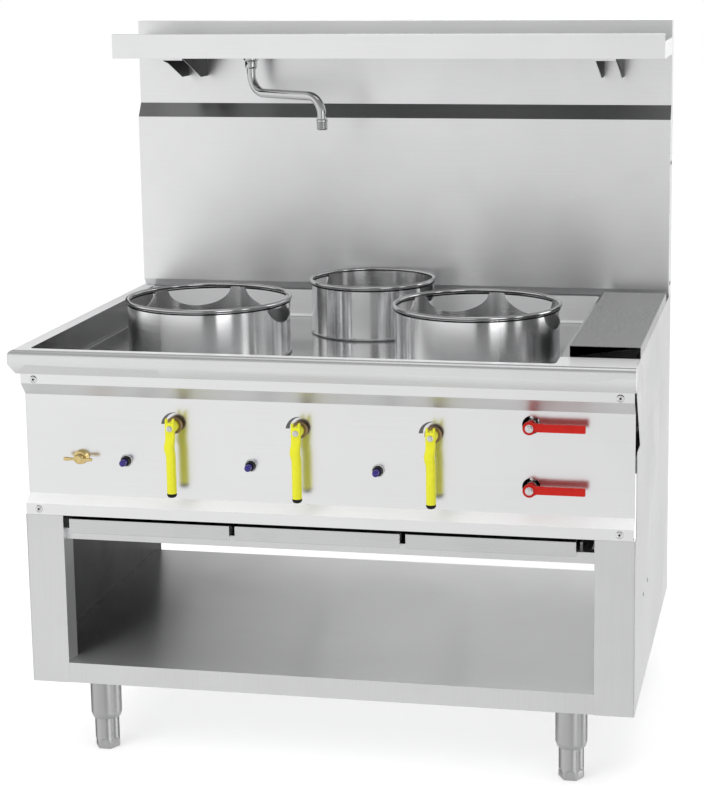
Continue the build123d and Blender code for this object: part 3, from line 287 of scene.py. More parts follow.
FINISHES = {
    "panel": steel("panel_steel", 0.78, 0.85, 0.2, 0.26, ALONG_X, 0.02, 0.05, streak=0.15),
    "slant": steel("panel_slant_steel", 0.72, 0.78, 0.36, 0.46, ALONG_X, 0.08, 0.1),
    # the up-facing lip: a light, nearly non-metallic copy of the panel's steel, painted light so it
    # reads bright
    "painted_light_lip": steel("panel_lip_painted_light", 0.94, 0.97, 0.4, 0.5, ALONG_X, 0.04, 0.05, 0.1),
    "splash": steel("splash_steel", 0.80, 0.88, 0.26, 0.36, ALONG_X, 0.15, 0.08, streak=0.7),
    # a dark copy of the splash steel for its slanted band: painted dark reflection
    "painted_reflection_band": steel("splash_band_painted_reflection", 0.29, 0.34, 0.3, 0.4, ALONG_X, 0.1, 0.1),
    "top": steel("worktop_steel", 0.50, 0.58, 0.12, 0.2, ALONG_X, 0.02, 0.15),
    # the worktop's rim: a light, mostly non-metallic copy of its steel, painted light
    "rim": steel("rim_painted_light_steel", 0.88, 0.94, 0.3, 0.4, ALONG_X, 0.04, 0.05, 0.3),
    "nose": steel("nose_steel", 0.72, 0.80, 0.22, 0.32, ALONG_X, 0.05, 0.08),
    "basin_wall": steel("basin_wall_steel", 0.16, 0.22, 0.14, 0.24, ALONG_Y, 0.08, 0.3),
    "cover": steel("deck_cover_steel", 0.31, 0.34, 0.22, 0.3, COARSE_Y, 0.03, 0.1),
    "side": steel("side_steel", 0.80, 0.87, 0.24, 0.34, UPRIGHT, 0.12, 0.1),
    # a darker copy of the panel's steel for the posts, drawer rail and shelf front: painted darker
    # reflection of the floor near the range
    "post_painted_reflection": steel("post_steel", 0.64, 0.72, 0.26, 0.36, UPRIGHT, 0.25, 0.12),
    "shelf": steel(
        "bottom_shelf_steel", 0.92, 0.96, 0.34, 0.38, ALONG_X, 0.0, 0.08, streak=0.95, lay="Y"
    ),
    # a near-black copy of the side steel for the panels' inner faces: painted shade inside the bay
    "bay_painted_shade": steel("bay_painted_shade_steel", 0.07, 0.11, 0.3, 0.42, ALONG_Y, 0.2, 0.3),
    "inner": steel("inner_steel", 0.34, 0.42, 0.3, 0.44, ALONG_X, 0.2, 0.25),
    "drawer": steel("drawer_steel", 0.58, 0.66, 0.2, 0.3, ALONG_X, 0.12, 0.15),
    "ring": steel("ring_steel", 0.86, 0.92, 0.17, 0.21, ROUND, 0.01, 0.05, streak=0.95),
    "bead": steel("ring_bead_steel", 0.50, 0.58, 0.08, 0.14, FINE, 0.02, 0.05),
    # near-black steel for painted shade: the hoop under each ring's bead and the screw sockets
    "seam": steel("painted_shade_steel", 0.015, 0.03, 0.5, 0.6, FINE, 0.1, 0.2),
    "chrome": steel("chrome", 0.46, 0.50, 0.02, 0.05, FINE, 0.01),
    # a near-black copy of the bracket steel for its side faces: painted shade under the shelf
    "painted_shade_cheek": steel("bracket_cheek_painted_shade", 0.02, 0.035, 0.35, 0.5, FINE, 0.1, 0.1),
    "pipe": steel("pipe_steel", 0.5, 0.58, 0.28, 0.4, FINE, 0.15, 0.3),
    "zinc": steel("zinc_plate", 0.66, 0.74, 0.14, 0.24, FINE, 0.06, 0.15),
    "leg": steel("leg_steel", 0.40, 0.48, 0.34, 0.42, UPRIGHT, 0.05, 0.1, streak=0.5),
    # a darker brass for the hubs, darker all over than the pilot cock's
    "hub_brass": steel("dark_brass", 0.22, 0.34, 0.3, 0.45, FINE, 0.1, 0.4, tint=HUB_TINT),
    "brass": steel("brass", 0.66, 0.8, 0.16, 0.28, FINE, 0.06, 0.3, tint=NEW),
    "iron": steel("cast_iron", 0.06, 0.11, 0.55, 0.75, FINE, 0.8, 0.3, 0.6),
    "soot": steel("sooty_steel", 0.16, 0.26, 0.4, 0.6, FINE, 0.3, 0.4),
    "shelf_lip": steel("wall_shelf_steel", 0.80, 0.87, 0.18, 0.26, ALONG_X, 0.08, 0.08),
    "yellow": enamel(
        "yellow_grip", (0.88, 0.86, 0.02), (0.82, 0.80, 0.015), 0.36, 0.1, 0.02, gloss=0.4
    ),
    "red": enamel(
        "red_enamel", (0.60, 0.012, 0.006), (0.5, 0.008, 0.004), 0.42, 0.0, gloss=0.25
    ),
    "black": enamel("black_plastic", (0.006,) * 3, (0.012,) * 3, 0.4, 0.0, gloss=0.2),
    "button": enamel(
        "button_plastic", (0.035, 0.02, 0.23), (0.025, 0.015, 0.17), 0.3, 0.2, gloss=0.35
    ),
    "scale": enamel(
        "printed_scale", (0.11, 0.11, 0.115), (0.2, 0.2, 0.205), 0.5, 0.0, 0.02, 300.0
    ),
}


# ---------------------------------------------------------------- meshes
def to_mesh(shell, name):
    """Ends a bmesh as a plain mesh."""
    mesh = bpy.data.meshes.new(name)
    shell.to_mesh(mesh)
    shell.free()
    return mesh


def finish_piece(name, shell, body, finishes, replaced=(), sharp=None):
    """Puts a bmesh or mesh in the scene with its finishes, and lets it ride on its CAD body."""
    mesh = to_mesh(shell, name) if isinstance(shell, bmesh.types.BMesh) else shell
    piece = add_object(name, mesh)
    finishes = [finishes] if isinstance(finishes, str) else finishes
    # clearing the old materials also clears which face has which
    order = [min(face.material_index, len(finishes) - 1) for face in mesh.polygons]
    mesh.materials.clear()
    for finish in finishes:
        mesh.materials.append(FINISHES[finish])
    mesh.polygons.foreach_set("material_index", order)
    mesh.polygons.foreach_set("use_smooth", [True] * len(mesh.polygons))
    if sharp is not None:
        mesh.set_sharp_from_angle(angle=math.radians(sharp))
    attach(piece, body)
    if replaced:
        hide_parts(*replaced)
    return piece


def dress(node, finish):
    """Gives a CAD node that is shown as it is a better finish."""
    for slot in nodes[node].material_slots:
        slot.material = FINISHES[finish]


def round_edges(piece, width, angle=30.0):
    """Rounds a piece's folds and edges, which then catch the light; the mesh ends plain."""
    bevel = piece.modifiers.new("rounded edges", "BEVEL")
    bevel.width = width
    bevel.segments = 2
    bevel.limit_method = "ANGLE"
    bevel.angle_limit = math.radians(angle)
    bevel.use_clamp_overlap = True
    bevel.harden_normals = True
    evaluated = piece.evaluated_get(bpy.context.evaluated_depsgraph_get())
    rounded = bpy.data.meshes.new_from_object(evaluated)
    piece.modifiers.clear()
    piece.data = rounded


# what stands in each pierced sheet's holes: the sheet is cut upright through their middles
PIERCED = {
    "worktop": ("left_ring", "centre_ring", "right_ring", "basin_drain", "deck_cover"),
    "control_panel": (
        "left_lever_nut", "centre_lever_nut", "right_lever_nut", "upper_lever_nut", "cock_handle",
        "left_igniter_button", "centre_igniter_button", "right_igniter_button",
    ),
    "splash_upper": ("tap_body",),
    "wall_shelf": ("tap_body",),
    "rear_sheet": ("gas_inlet", "water_inlet"),
}


def merge_flats(shell, cuts):
    """Joins a sheet's coplanar triangles, but not across the cuts, so that no face holds a hole.

    Each cut is an axis (0 for X, 1 for Y) and a place on it.
    """
    for axis, place in cuts:
        square = Vector((0, 0, 0))
        square[axis] = 1.0
        everything = shell.verts[:] + shell.edges[:] + shell.faces[:]
        bmesh.ops.bisect_plane(
            shell, geom=everything, dist=0.00001, plane_co=square * place, plane_no=square
        )

    def on_cut(*verts):
        return any(
            all(abs(vert.co[axis] - place) < 0.00002 for vert in verts) for axis, place in cuts
        )

    verts = [vert for vert in shell.verts if not on_cut(vert)]
    edges = [edge for edge in shell.edges if not on_cut(*edge.verts)]
    bmesh.ops.dissolve_limit(shell, angle_limit=math.radians(1.0), verts=verts, edges=edges)


def folded_sheet(name, node, body, finish, fold, regions=(), seams=()):
    """A copy of a sheet-metal node with its folds rounded; it stands for the node.

    Each region is a finish and a test of a face's middle and normal; seams are cuts between them.
    """
    shell = bmesh.new()
    shell.from_mesh(nodes[node].data)
    bmesh.ops.remove_doubles(shell, verts=shell.verts, dist=0.00001)
    merge_flats(shell, [(0, centre_of(filler).x) for filler in PIERCED.get(node, ())] + list(seams))
    for index, (_, test) in enumerate(regions, start=1):
        for face in shell.faces:
            if test(face.calc_center_median(), face.normal):
                face.material_index = index
    mesh = to_mesh(shell, name)
    # the CAD mesh's own normals no longer fit its merged corners
    if "custom_normal" in mesh.attributes:
        mesh.attributes.remove(mesh.attributes["custom_normal"])
    finishes = [finish] + [region[0] for region in regions]
    round_edges(finish_piece(name, mesh, body, finishes, (node,)), fold)


def lathe(shell, place, axis, profile, steps=48, material=0):
    """Turns a profile of (radius, distance along the axis) round an axis; closed at poles."""
    place, axis = Vector(place), Vector(axis)
    side = axis.orthogonal().normalized() if axis.z else Vector(UP).cross(axis).normalized()
    other = axis.cross(side)
    rows = []
    for radius, along in profile:
        turns = circle_turns(steps) if radius > 1e-7 else (0.0,)
        rows.append([
            shell.verts.new(
                place + axis * along + (side * math.cos(turn) + other * math.sin(turn)) * radius
            )
            for turn in turns
        ])
    for low, high in zip(rows, rows[1:]):
        for step in range(steps):
            after = (step + 1) % steps
            corners = [low[step % len(low)], low[after % len(low)]]
            corners += [high[after % len(high)], high[step % len(high)]]
            corners = list(dict.fromkeys(corners))
            if len(corners) > 2:
                shell.faces.new(corners).material_index = material


def skin(shell, loops):
    """Joins loops of equal length, one after another, into a tube with closed ends."""
    rows = [[shell.verts.new(point) for point in loop] for loop in loops]
    for low, high in zip(rows, rows[1:]):
        for step in range(len(low)):
            after = (step + 1) % len(low)
            shell.faces.new((low[step], low[after], high[after], high[step]))
    shell.faces.new(rows[0][::-1])
    shell.faces.new(rows[-1])


def section(place, width, depth, squareness=2.0, count=28):
    """A loop across Z: an ellipse that turns square as squareness grows."""
    loop = []
    for turn in circle_turns(count):
        reach = abs(math.cos(turn)) ** squareness + abs(math.sin(turn)) ** squareness
        reach **= -1.0 / squareness
        across = Vector((width * reach * math.cos(turn), depth * reach * math.sin(turn), 0))
        loop.append(Vector(place) + across)
    return loop


def tube_along(shell, points, radius, steps=24):
    """A round tube through points, with no twist."""
    points = [Vector(point) for point in points]
    loops = []
    side = None
    for index, point in enumerate(points):
        ahead = points[min(index + 1, len(points) - 1)] - points[max(index - 1, 0)]
        ahead.normalize()
        if side is None:
            side = ahead.orthogonal().normalized()
        side = (side - ahead * side.dot(ahead)).normalized()
        other = ahead.cross(side)
        loops.append([
            point + (side * math.cos(turn) + other * math.sin(turn)) * radius
            for turn in circle_turns(steps)
        ])
    skin(shell, loops)


def bent_route(corners, radius, arc_steps=14):
    """Straight runs between corners, with an arc at each inner one."""
    corners = [Vector(corner) for corner in corners]
    route = [corners[0]]
    for before, corner, after in zip(corners, corners[1:], corners[2:]):
        to_before = (before - corner).normalized()
        to_after = (after - corner).normalized()
        half = to_before.angle(to_after) / 2
        reach = radius / math.tan(half)
        middle = corner + (to_before + to_after).normalized() * (radius / math.sin(half))
        start = corner + to_before * reach - middle
        stop = corner + to_after * reach - middle
        turn = start.angle(stop)
        for step in range(arc_steps + 1):
            share = step / arc_steps
            route.append(
                middle
                + start * (math.sin((1 - share) * turn) / math.sin(turn))
                + stop * (math.sin(share * turn) / math.sin(turn))
            )
    return route + [corners[-1]]


def outward(shell):
    """Merges doubles and turns every face outwards."""
    bmesh.ops.remove_doubles(shell, verts=shell.verts, dist=1e-6)
    bmesh.ops.recalc_face_normals(shell, faces=shell.faces)


def rod(radius, start, stop):
    """The profile of a plain rod between two distances along its axis."""
    return ((0, start), (radius, start), (radius, stop), (0, stop))


def turned_piece(name, body, slot, finishes, replaced, sharp, *turns, shell=None):
    """A piece of turned parts, joined to a bmesh if there is one.

    Each turn holds what lathe takes after its bmesh.
    """
    if shell is None:
        shell = bmesh.new()
    for turn in turns:
        lathe(shell, *turn)
    outward(shell)
    finish_piece(name, shell, body, finishes, replaced, sharp)


# ---------------------------------------------------------------- geometry nodes
def geometry_tree(name, inputs, on_seeds=True):
    """An empty geometry node tree with named inputs, a material and, for copies, its seeds."""
    seeds = (("Geometry", "Geometry", None),) if on_seeds else ()
    inputs = (*seeds, *inputs, ("Material", "Material", None))
    return new_tree("GeometryNodeTree", name, inputs, (("Geometry", "Geometry"),))


def end_tree(tree, given, leaving, geometry):
    """Closes a tree: instances made real, then the material."""
    real = add_node(tree, "GeometryNodeRealizeInstances", {"Geometry": geometry})[0]
    values = {"Geometry": real, "Material": given["Material"]}
    tree.links.new(add_node(tree, "GeometryNodeSetMaterial", values)[0], leaving[0])
    return tree


def copies_on(tree, points, instance, **values):
    """An Instance on Points node; its other inputs are Rotation and the like."""
    values.update(Points=points, Instance=instance)
    return add_node(tree, "GeometryNodeInstanceOnPoints", values)[0]


def facing_out(tree):
    """The turn that points Z along each seed's own direction."""
    values = {"Name": "facing"}
    facing = add_node(tree, "GeometryNodeInputNamedAttribute", values, data_type="FLOAT_VECTOR")[0]
    return add_node(tree, "FunctionNodeAlignRotationToVector", {"Vector": facing}, axis="Z")[0]


def grow(tree, values, seeds=()):
    """Runs a tree with these inputs and gives the plain mesh.

    Seeds are (place, facing) pairs, for trees that put instances on points.
    """
    base = bpy.data.meshes.new("seeds")
    base.from_pydata([place for place, _ in seeds], [], [])
    facing = base.attributes.new("facing", "FLOAT_VECTOR", "POINT")
    for index, (_, direction) in enumerate(seeds):
        facing.data[index].vector = direction
    carrier = add_object("carrier", base)
    modifier = carrier.modifiers.new("grow", "NODES")
    modifier.node_group = tree
    for item in tree.interface.items_tree:
        if item.item_type == "SOCKET" and item.in_out == "INPUT" and item.name in values:
            modifier[item.identifier] = values[item.name]
    evaluated = carrier.evaluated_get(bpy.context.evaluated_depsgraph_get())
    mesh = bpy.data.meshes.new_from_object(evaluated)
    carrier.modifiers.clear()
    bpy.data.objects.remove(carrier)
    if not mesh.polygons:
        raise RuntimeError(f"{tree.name} made no faces")
    return mesh


def build_ring_wall_tree():
    """A ring's wall: a grid rolled up, its top edge cut in half rounds at even steps."""
    rows, around = 8, 288
    last = 2 * rows + 2
    tree, given, leaving = geometry_tree(
        "Ring wall",
        (
            ("Middle", "Vector", None), ("Radius", "Float", 0.1715), ("Wall", "Float", 0.0025),
            ("Wall height", "Float", 0.112), ("Gap depth", "Float", 0.042),
            ("Gap half angle", "Float", 0.419), ("First gap", "Float", -0.087),
            ("Gap step", "Float", 1.047), ("Gap count", "Int", 4),
        ),
        on_seeds=False,
    )
    do = partial(maths, tree)
    values = {"Size X": 1.0, "Size Y": 1.0, "Vertices X": around + 1, "Vertices Y": last + 1}
    grid = add_node(tree, "GeometryNodeMeshGrid", values)["Mesh"]
    position = add_node(tree, "GeometryNodeInputPosition")[0]
    spot = add_node(tree, "ShaderNodeSeparateXYZ", {0: position})
    turn = do("MULTIPLY", do("ADD", spot["X"], 0.5), math.tau)
    row = do("ROUND", do("MULTIPLY", do("ADD", spot["Y"], 0.5), last))
    # angle from the nearest gap's middle
    half_step = do("DIVIDE", given["Gap step"], 2.0)
    from_first = do("ADD", do("SUBTRACT", turn, given["First gap"]), half_step)
    wrapped = do("SUBTRACT", do("FLOORED_MODULO", from_first, math.tau), half_step)
    number = do("ROUND", do("DIVIDE", wrapped, given["Gap step"]))
    number = do("MINIMUM", number, do("SUBTRACT", given["Gap count"], 1.0))
    number = do("MAXIMUM", number, 0.0)
    offset = do("SUBTRACT", wrapped, do("MULTIPLY", number, given["Gap step"]))
    inside = do("LESS_THAN", do("ABSOLUTE", offset), given["Gap half angle"])
    share = do("DIVIDE", do("SINE", offset), do("SINE", given["Gap half angle"]))
    rest = do("SUBTRACT", 1.0, do("MULTIPLY", share, share))
    bow = do("SQRT", do("MAXIMUM", rest, 0.0))
    drop = do("MULTIPLY", do("MULTIPLY", bow, inside), given["Gap depth"])
    top = do("SUBTRACT", given["Wall height"], drop)
    # up the outside and down the inside
    rising = do("DIVIDE", row, float(rows))
    falling = do("DIVIDE", do("SUBTRACT", last - 1.0, row), float(rows))
    level = do("MINIMUM", do("MINIMUM", rising, 1.0), do("MAXIMUM", falling, 0.0))
    inner = do("MULTIPLY", do("GREATER_THAN", row, rows + 0.5), do("LESS_THAN", row, last - 0.5))
    radius = do("SUBTRACT", given["Radius"], do("MULTIPLY", inner, given["Wall"]))
    values = {
        "X": do("MULTIPLY", radius, do("COSINE", turn)),
        "Y": do("MULTIPLY", radius, do("SINE", turn)),
        "Z": do("MULTIPLY", level, top),
    }
    values = {0: add_node(tree, "ShaderNodeCombineXYZ", values)[0], 1: given["Middle"]}
    placed = add_node(tree, "ShaderNodeVectorMath", values, operation="ADD")[0]
    rolled = add_node(tree, "GeometryNodeSetPosition", {"Geometry": grid, "Position": placed})[0]
    values = {"Geometry": rolled, "Distance": 1e-5}
    return end_tree(
        tree, given, leaving, add_node(tree, "GeometryNodeMergeByDistance", values)[0]
    )


def build_hoop_tree():
    """Round wire bent into hoops, one above another at even steps: beads, threads and grooves."""
    tree, given, leaving = geometry_tree(
        "Hoops",
        (
            ("Radius", "Float", 0.17), ("Wire", "Float", 0.0045), ("Count", "Int", 1),
            ("Step", "Float", 0.01), ("Steps round", "Int", 160),
            ("Steps round the wire", "Int", 16),
        ),
    )
    path, wire = (
        add_node(
            tree, "GeometryNodeCurvePrimitiveCircle",
            {"Resolution": given[steps], "Radius": given[radius]},
        )["Curve"]
        for steps, radius in (("Steps round", "Radius"), ("Steps round the wire", "Wire"))
    )
    values = {"Curve": path, "Profile Curve": wire}
    hoop = add_node(tree, "GeometryNodeCurveToMesh", values)["Mesh"]
    step = add_node(tree, "ShaderNodeCombineXYZ", {"Z": given["Step"]})[0]
    values = {"Count": given["Count"], "Offset": step}
    column = copies_on(tree, add_node(tree, "GeometryNodeMeshLine", values)["Mesh"], hoop)
    copies = copies_on(tree, given["Geometry"], column, Rotation=facing_out(tree))
    return end_tree(tree, given, leaving, copies)


def build_fastener_tree():
    """One modelled head on each seed, facing outwards and turned by chance from a fixed seed."""
    tree, given, leaving = geometry_tree(
        "Fasteners", (("Head", "Object", None), ("Seed", "Int", 7))
    )
    head = add_node(tree, "GeometryNodeObjectInfo", {"Object": given["Head"]})["Geometry"]
    values = {"Seed": given["Seed"], 3: math.pi / 2}
    chance = add_node(tree, "FunctionNodeRandomValue", values, data_type="FLOAT")[1]
    turn = add_node(tree, "ShaderNodeCombineXYZ", {"Z": chance})[0]
    values = {"Rotation": facing_out(tree), "Rotate By": turn}
    spin = add_node(tree, "FunctionNodeRotateRotation", values, rotation_space="LOCAL")[0]
    copies = copies_on(tree, given["Geometry"], head, Rotation=spin)
    return end_tree(tree, given, leaving, copies)


def build_port_tree():
    """Short bosses in a circle, as the flame ports round a burner's head."""
    tree, given, leaving = geometry_tree(
        "Burner ports",
        (
            ("Circle", "Float", 0.07), ("Count", "Int", 24), ("Port radius", "Float", 0.0035),
            ("Port height", "Float", 0.005),
        ),
    )
    values = {"Vertices": given["Count"], "Radius": given["Circle"]}
    circle = add_node(tree, "GeometryNodeMeshCircle", values)["Mesh"]
    values = {
        "Vertices": 12, "Radius Top": maths(tree, "MULTIPLY", given["Port radius"], 0.6),
        "Radius Bottom": given["Port radius"], "Depth": given["Port height"],
    }
    port = add_node(tree, "GeometryNodeMeshCone", values)["Mesh"]
    copies = copies_on(tree, given["Geometry"], copies_on(tree, circle, port))
    return end_tree(tree, given, leaving, copies)


RING_WALL, HOOPS = build_ring_wall_tree(), build_hoop_tree()
FASTENERS, PORTS = build_fastener_tree(), build_port_tree()


def hoops(seeds, radius, wire, finish, **more):
    """Wire hoops on each seed; more sets Count, Step and the like."""
    values = {"Radius": radius, "Wire": wire, "Material": FINISHES[finish], **more}
    return grow(HOOPS, values, seeds)


def fine_hoops(seeds, radius, wire, finish, count, step, around, wire_steps=6):
    """A stack of thin hoops, as a thread or grooves, with few faces."""
    steps = {"Steps round": around, "Steps round the wire": wire_steps}
    return hoops(seeds, radius, wire, finish, Count=count, Step=step, **steps)


# ---------------------------------------------------------------- sizes and colours
class RingSettings(bpy.types.PropertyGroup):
    """Sizes of the burner rings."""

    wall: bpy.props.FloatProperty(
        name="Wall", description="Thickness of a ring's wall", default=0.0025, unit="LENGTH"
    )
    bead: bpy.props.FloatProperty(
        name="Bead", description="Radius of the wire in the rim", default=0.0045, unit="LENGTH"
    )
    foot_bead: bpy.props.FloatProperty(
        name="Foot bead", description="Radius of the rolled foot", default=0.0025, unit="LENGTH"
    )
    gap_depth: bpy.props.FloatProperty(
        name="Gap depth", description="Depth of the air gaps", default=0.042, unit="LENGTH"
    )
    gap_half_angle: bpy.props.FloatProperty(
        name="Gap half angle", default=math.radians(24.0), subtype="ANGLE",
        description="Half the width of an air gap, seen from the ring's middle",
    )


class GasLeverSettings(bpy.types.PropertyGroup):
    """Sizes of the yellow gas levers."""

    tube: bpy.props.FloatProperty(
        name="Tube", description="Radius of the lever's tube", default=0.00975, unit="LENGTH"
    )
    bulge: bpy.props.FloatProperty(
        name="Bulge", description="How far the finger stop swells", default=0.0028, unit="LENGTH"
    )
    prong: bpy.props.FloatProperty(
        name="Prong", description="Height of the fork's prongs", default=0.0095, unit="LENGTH"
    )


class WaterLeverSettings(bpy.types.PropertyGroup):
    """Sizes of the red water levers."""

    rim: bpy.props.FloatProperty(
        name="Rim", description="Width of the raised rim", default=0.0016, unit="LENGTH"
    )
    recess: bpy.props.FloatProperty(
        name="Recess", description="Depth of the flat inside the rim", default=0.0006, unit="LENGTH"
    )


class SheetSettings(bpy.types.PropertyGroup):
    """How the folded sheets are finished."""

    fold: bpy.props.FloatProperty(
        name="Fold", description="Rounding of the folds", default=0.0009, unit="LENGTH"
    )
    nose_fold: bpy.props.FloatProperty(
        name="Worktop fold", default=0.0014, unit="LENGTH",
        description="Rounding of the worktop's edges",
    )


class StageSettings(bpy.types.PropertyGroup):
    """Floor, lights and camera."""

    floor: bpy.props.FloatVectorProperty(
        name="Floor", description="Colour of the floor", default=(0.82,) * 3, subtype="COLOR"
    )
    key: bpy.props.FloatProperty(
        name="Key", description="Power of the large soft lamp", default=55.0, unit="POWER"
    )
    room: bpy.props.FloatProperty(
        name="Room", description="Brightness of the white room round the range", default=0.75
    )
    lens: bpy.props.FloatProperty(
        name="Lens", description="Focal length of the camera, in millimetres", default=91.12
    )


SETTINGS = {
    "wok_rings": RingSettings, "wok_gas_levers": GasLeverSettings,
    "wok_water_levers": WaterLeverSettings, "wok_sheets": SheetSettings,
    "wok_stage": StageSettings,
}


# ---------------------------------------------------------------- pieces
class WOK_OT_sheets(bpy.types.Operator):
    """Worktop, sides, panel, splashback, shelves and drawers, with rounded folds"""

    bl_idname = "wok_range.sheets"
    bl_label = "Folded sheets"

    # piece, CAD node, slot and finish
    SHEETS = (
        ("worktop_sheet", "worktop", "top_steel", "top"),
        ("panel_sheet", "control_panel", "panel_steel", "panel"),
        ("left_side_sheet", "left_side_panel", "side_steel", "side"),
        ("right_side_sheet", "right_side_panel", "side_steel", "side"),
        ("left_apron_sheet", "left_apron", "side_steel", "side"),
        ("right_apron_sheet", "right_apron", "side_steel", "side"),
        ("rear_wall_sheet", "rear_sheet", "side_steel", "inner"),
        # the posts and the drawer rail take the darker post steel: painted reflection
        ("posts_sheet", "front_posts", "post_steel", "post_painted_reflection"),
        ("bottom_shelf_sheet", "bottom_shelf", "shelf_steel", "shelf"),
        ("drawer_rail_sheet", "drawer_rail", "inner_steel", "post_painted_reflection"),
        ("runners_sheet", "drawer_runners", "inner_steel", "inner"),
        ("splash_lower_sheet", "splash_lower", "splash_steel", "splash"),
        ("splash_upper_sheet", "splash_upper", "splash_steel", "splash"),
        ("wall_shelf_sheet", "wall_shelf", "splash_steel", "shelf_lip"),
        ("brackets_sheet", "shelf_brackets", "inner_steel", "splash"),
        ("deck_cover_sheet", "deck_cover", "top_steel", "cover"),
        ("drawer_1_sheet", "drip_drawer_1", "drawer_steel", "drawer"),
        ("drawer_2_sheet", "drip_drawer_2", "drawer_steel", "drawer"),
        ("drawer_3_sheet", "drip_drawer_3", "drawer_steel", "drawer"),
    )

    def execute(self, context):
        sizes = context.scene.wok_sheets
        rim_width, band_rise = 0.038, 0.0325
        left, front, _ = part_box("worktop")[0]
        _, cover_front, rim_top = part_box("deck_cover")[0]
        rim_right = left + rim_width
        band_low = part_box("splash_lower")[1].z - band_rise

        def is_rim(middle, normal):
            at_edge = middle.y < cover_front or middle.x < rim_right
            return normal.z > 0.9 and middle.z > rim_top - 0.004 and at_edge

        def is_left_wall(middle, normal):
            return normal.x > 0.5 and left + 0.02 < middle.x < left + 0.06

        def is_front_wall(middle, normal):
            return normal.y > 0.5 and middle.y < front + 0.06 and middle.z < rim_top

        def is_band(middle, normal):
            return middle.z > band_low and normal.y < -0.3 and normal.z > 0.2

        regions = {
            "worktop": (
                # the rim and the basin's upright walls take the light rim steel: painted light
                ("rim", is_rim),
                ("basin_wall", is_left_wall),
                ("rim", lambda middle, normal: normal.y < -0.5 and middle.y > 0.2),
                ("rim", is_front_wall),
                ("nose", lambda middle, normal: middle.y < front + 0.02 and normal.y < -0.2),
            ),
            "control_panel": (
                ("slant", lambda middle, normal: normal.y < -0.2 and normal.z < -0.3),
                # the up-facing lip takes the light copy of the steel: painted light
                ("painted_light_lip", lambda middle, normal: normal.y < -0.2 and normal.z > 0.3),
            ),
            # the side panels' inner faces take the near-black steel: painted shade
            "left_side_panel": (("bay_painted_shade", lambda middle, normal: normal.x > 0.9),),
            "right_side_panel": (("bay_painted_shade", lambda middle, normal: normal.x < -0.9),),
            # the shelf's front faces take the darker post steel: painted reflection
            "bottom_shelf": (("post_painted_reflection", lambda middle, normal: normal.y < -0.9),),
            # the splash's slanted face takes the dark copy of its steel: painted reflection
            "splash_lower": (("painted_reflection_band", is_band),),
            # the brackets' side faces take the near-black steel: painted shade
            "shelf_brackets": (("painted_shade_cheek", lambda middle, normal: abs(normal.x) > 0.9),),
        }
        seams = {"worktop": ((1, cover_front), (0, rim_right))}
        for name, node, slot, finish in self.SHEETS:
            loose = node.startswith(("deck_cover", "drip_drawer"))
            fold = sizes.nose_fold if node == "worktop" else sizes.fold
            folded_sheet(
                name, node, f"{node}_body" if loose else "root", finish, fold,
                regions.get(node, ()), seams.get(node, ()),
            )
        return {"FINISHED"}


class WOK_OT_rings(bpy.types.Operator):
    """The three burner rings: rolled walls with air gaps, rim and foot beads"""

    bl_idname = "wok_range.rings"
    bl_label = "Burner rings"

    # first gap and step between gaps, in degrees, and their number
    GAPS = {"left": (-5.0, 60.0, 4), "centre": (-5.0, 180.0, 2), "right": (-5.0, 60.0, 4)}

    def execute(self, context):
        sizes = context.scene.wok_rings
        for side in SIDES:
            body = f"{side}_ring_body"
            low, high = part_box(f"{side}_ring")
            x, y, _ = centre_of(f"{side}_ring")
            radius = (high.x - low.x) / 2 - sizes.bead
            height = high.z - low.z
            first, step, count = self.GAPS[side]
            values = {
                "Middle": (x, y, low.z), "Radius": radius, "Wall": sizes.wall,
                "Wall height": height - 1.6 * sizes.bead, "Gap depth": sizes.gap_depth,
                "Gap half angle": sizes.gap_half_angle, "First gap": math.radians(first),
                "Gap step": math.radians(step), "Gap count": count, "Material": FINISHES["ring"],
            }
            wall = bmesh.new()
            wall.from_mesh(grow(RING_WALL, values))
            outward(wall)
            name = f"{side}_ring_wall"
            finish_piece(name, wall, body, "ring", (f"{side}_ring",), 40.0)
            # the rim, the foot, and under the rim a thin near-black hoop: painted shade standing
            # for the shadow below the bead
            beads = bmesh.new()
            finishes = ("bead", "seam")
            gap, shade_line_drop = 0.0016, 0.0022
            for wire, up, material in (
                (sizes.bead, height - sizes.bead, 0),
                (sizes.foot_bead, sizes.foot_bead, 0),
                (gap, height - 2 * sizes.bead - shade_line_drop, 1),
            ):
                before = len(beads.faces)
                beads.from_mesh(
                    hoops([((x, y, low.z + up), UP)], radius, wire, finishes[material])
                )
                beads.faces.ensure_lookup_table()
                for face in beads.faces[before:]:
                    face.material_index = material
            # tacks where the foot is welded to the wall
            tack = mm(0, 0, 3, 0.8, 1.5, 3, 0, 3.5)
            for turn in range(25, 385, 30):
                angle = math.radians(turn)
                across, along = radius * math.cos(angle), radius * math.sin(angle)
                place = (x + across, y + along, low.z + sizes.foot_bead * 1.5)
                lathe(beads, place, UP, tack, 8)
            finish_piece(f"{side}_ring_beads", beads, body, finishes)
        return {"FINISHED"}


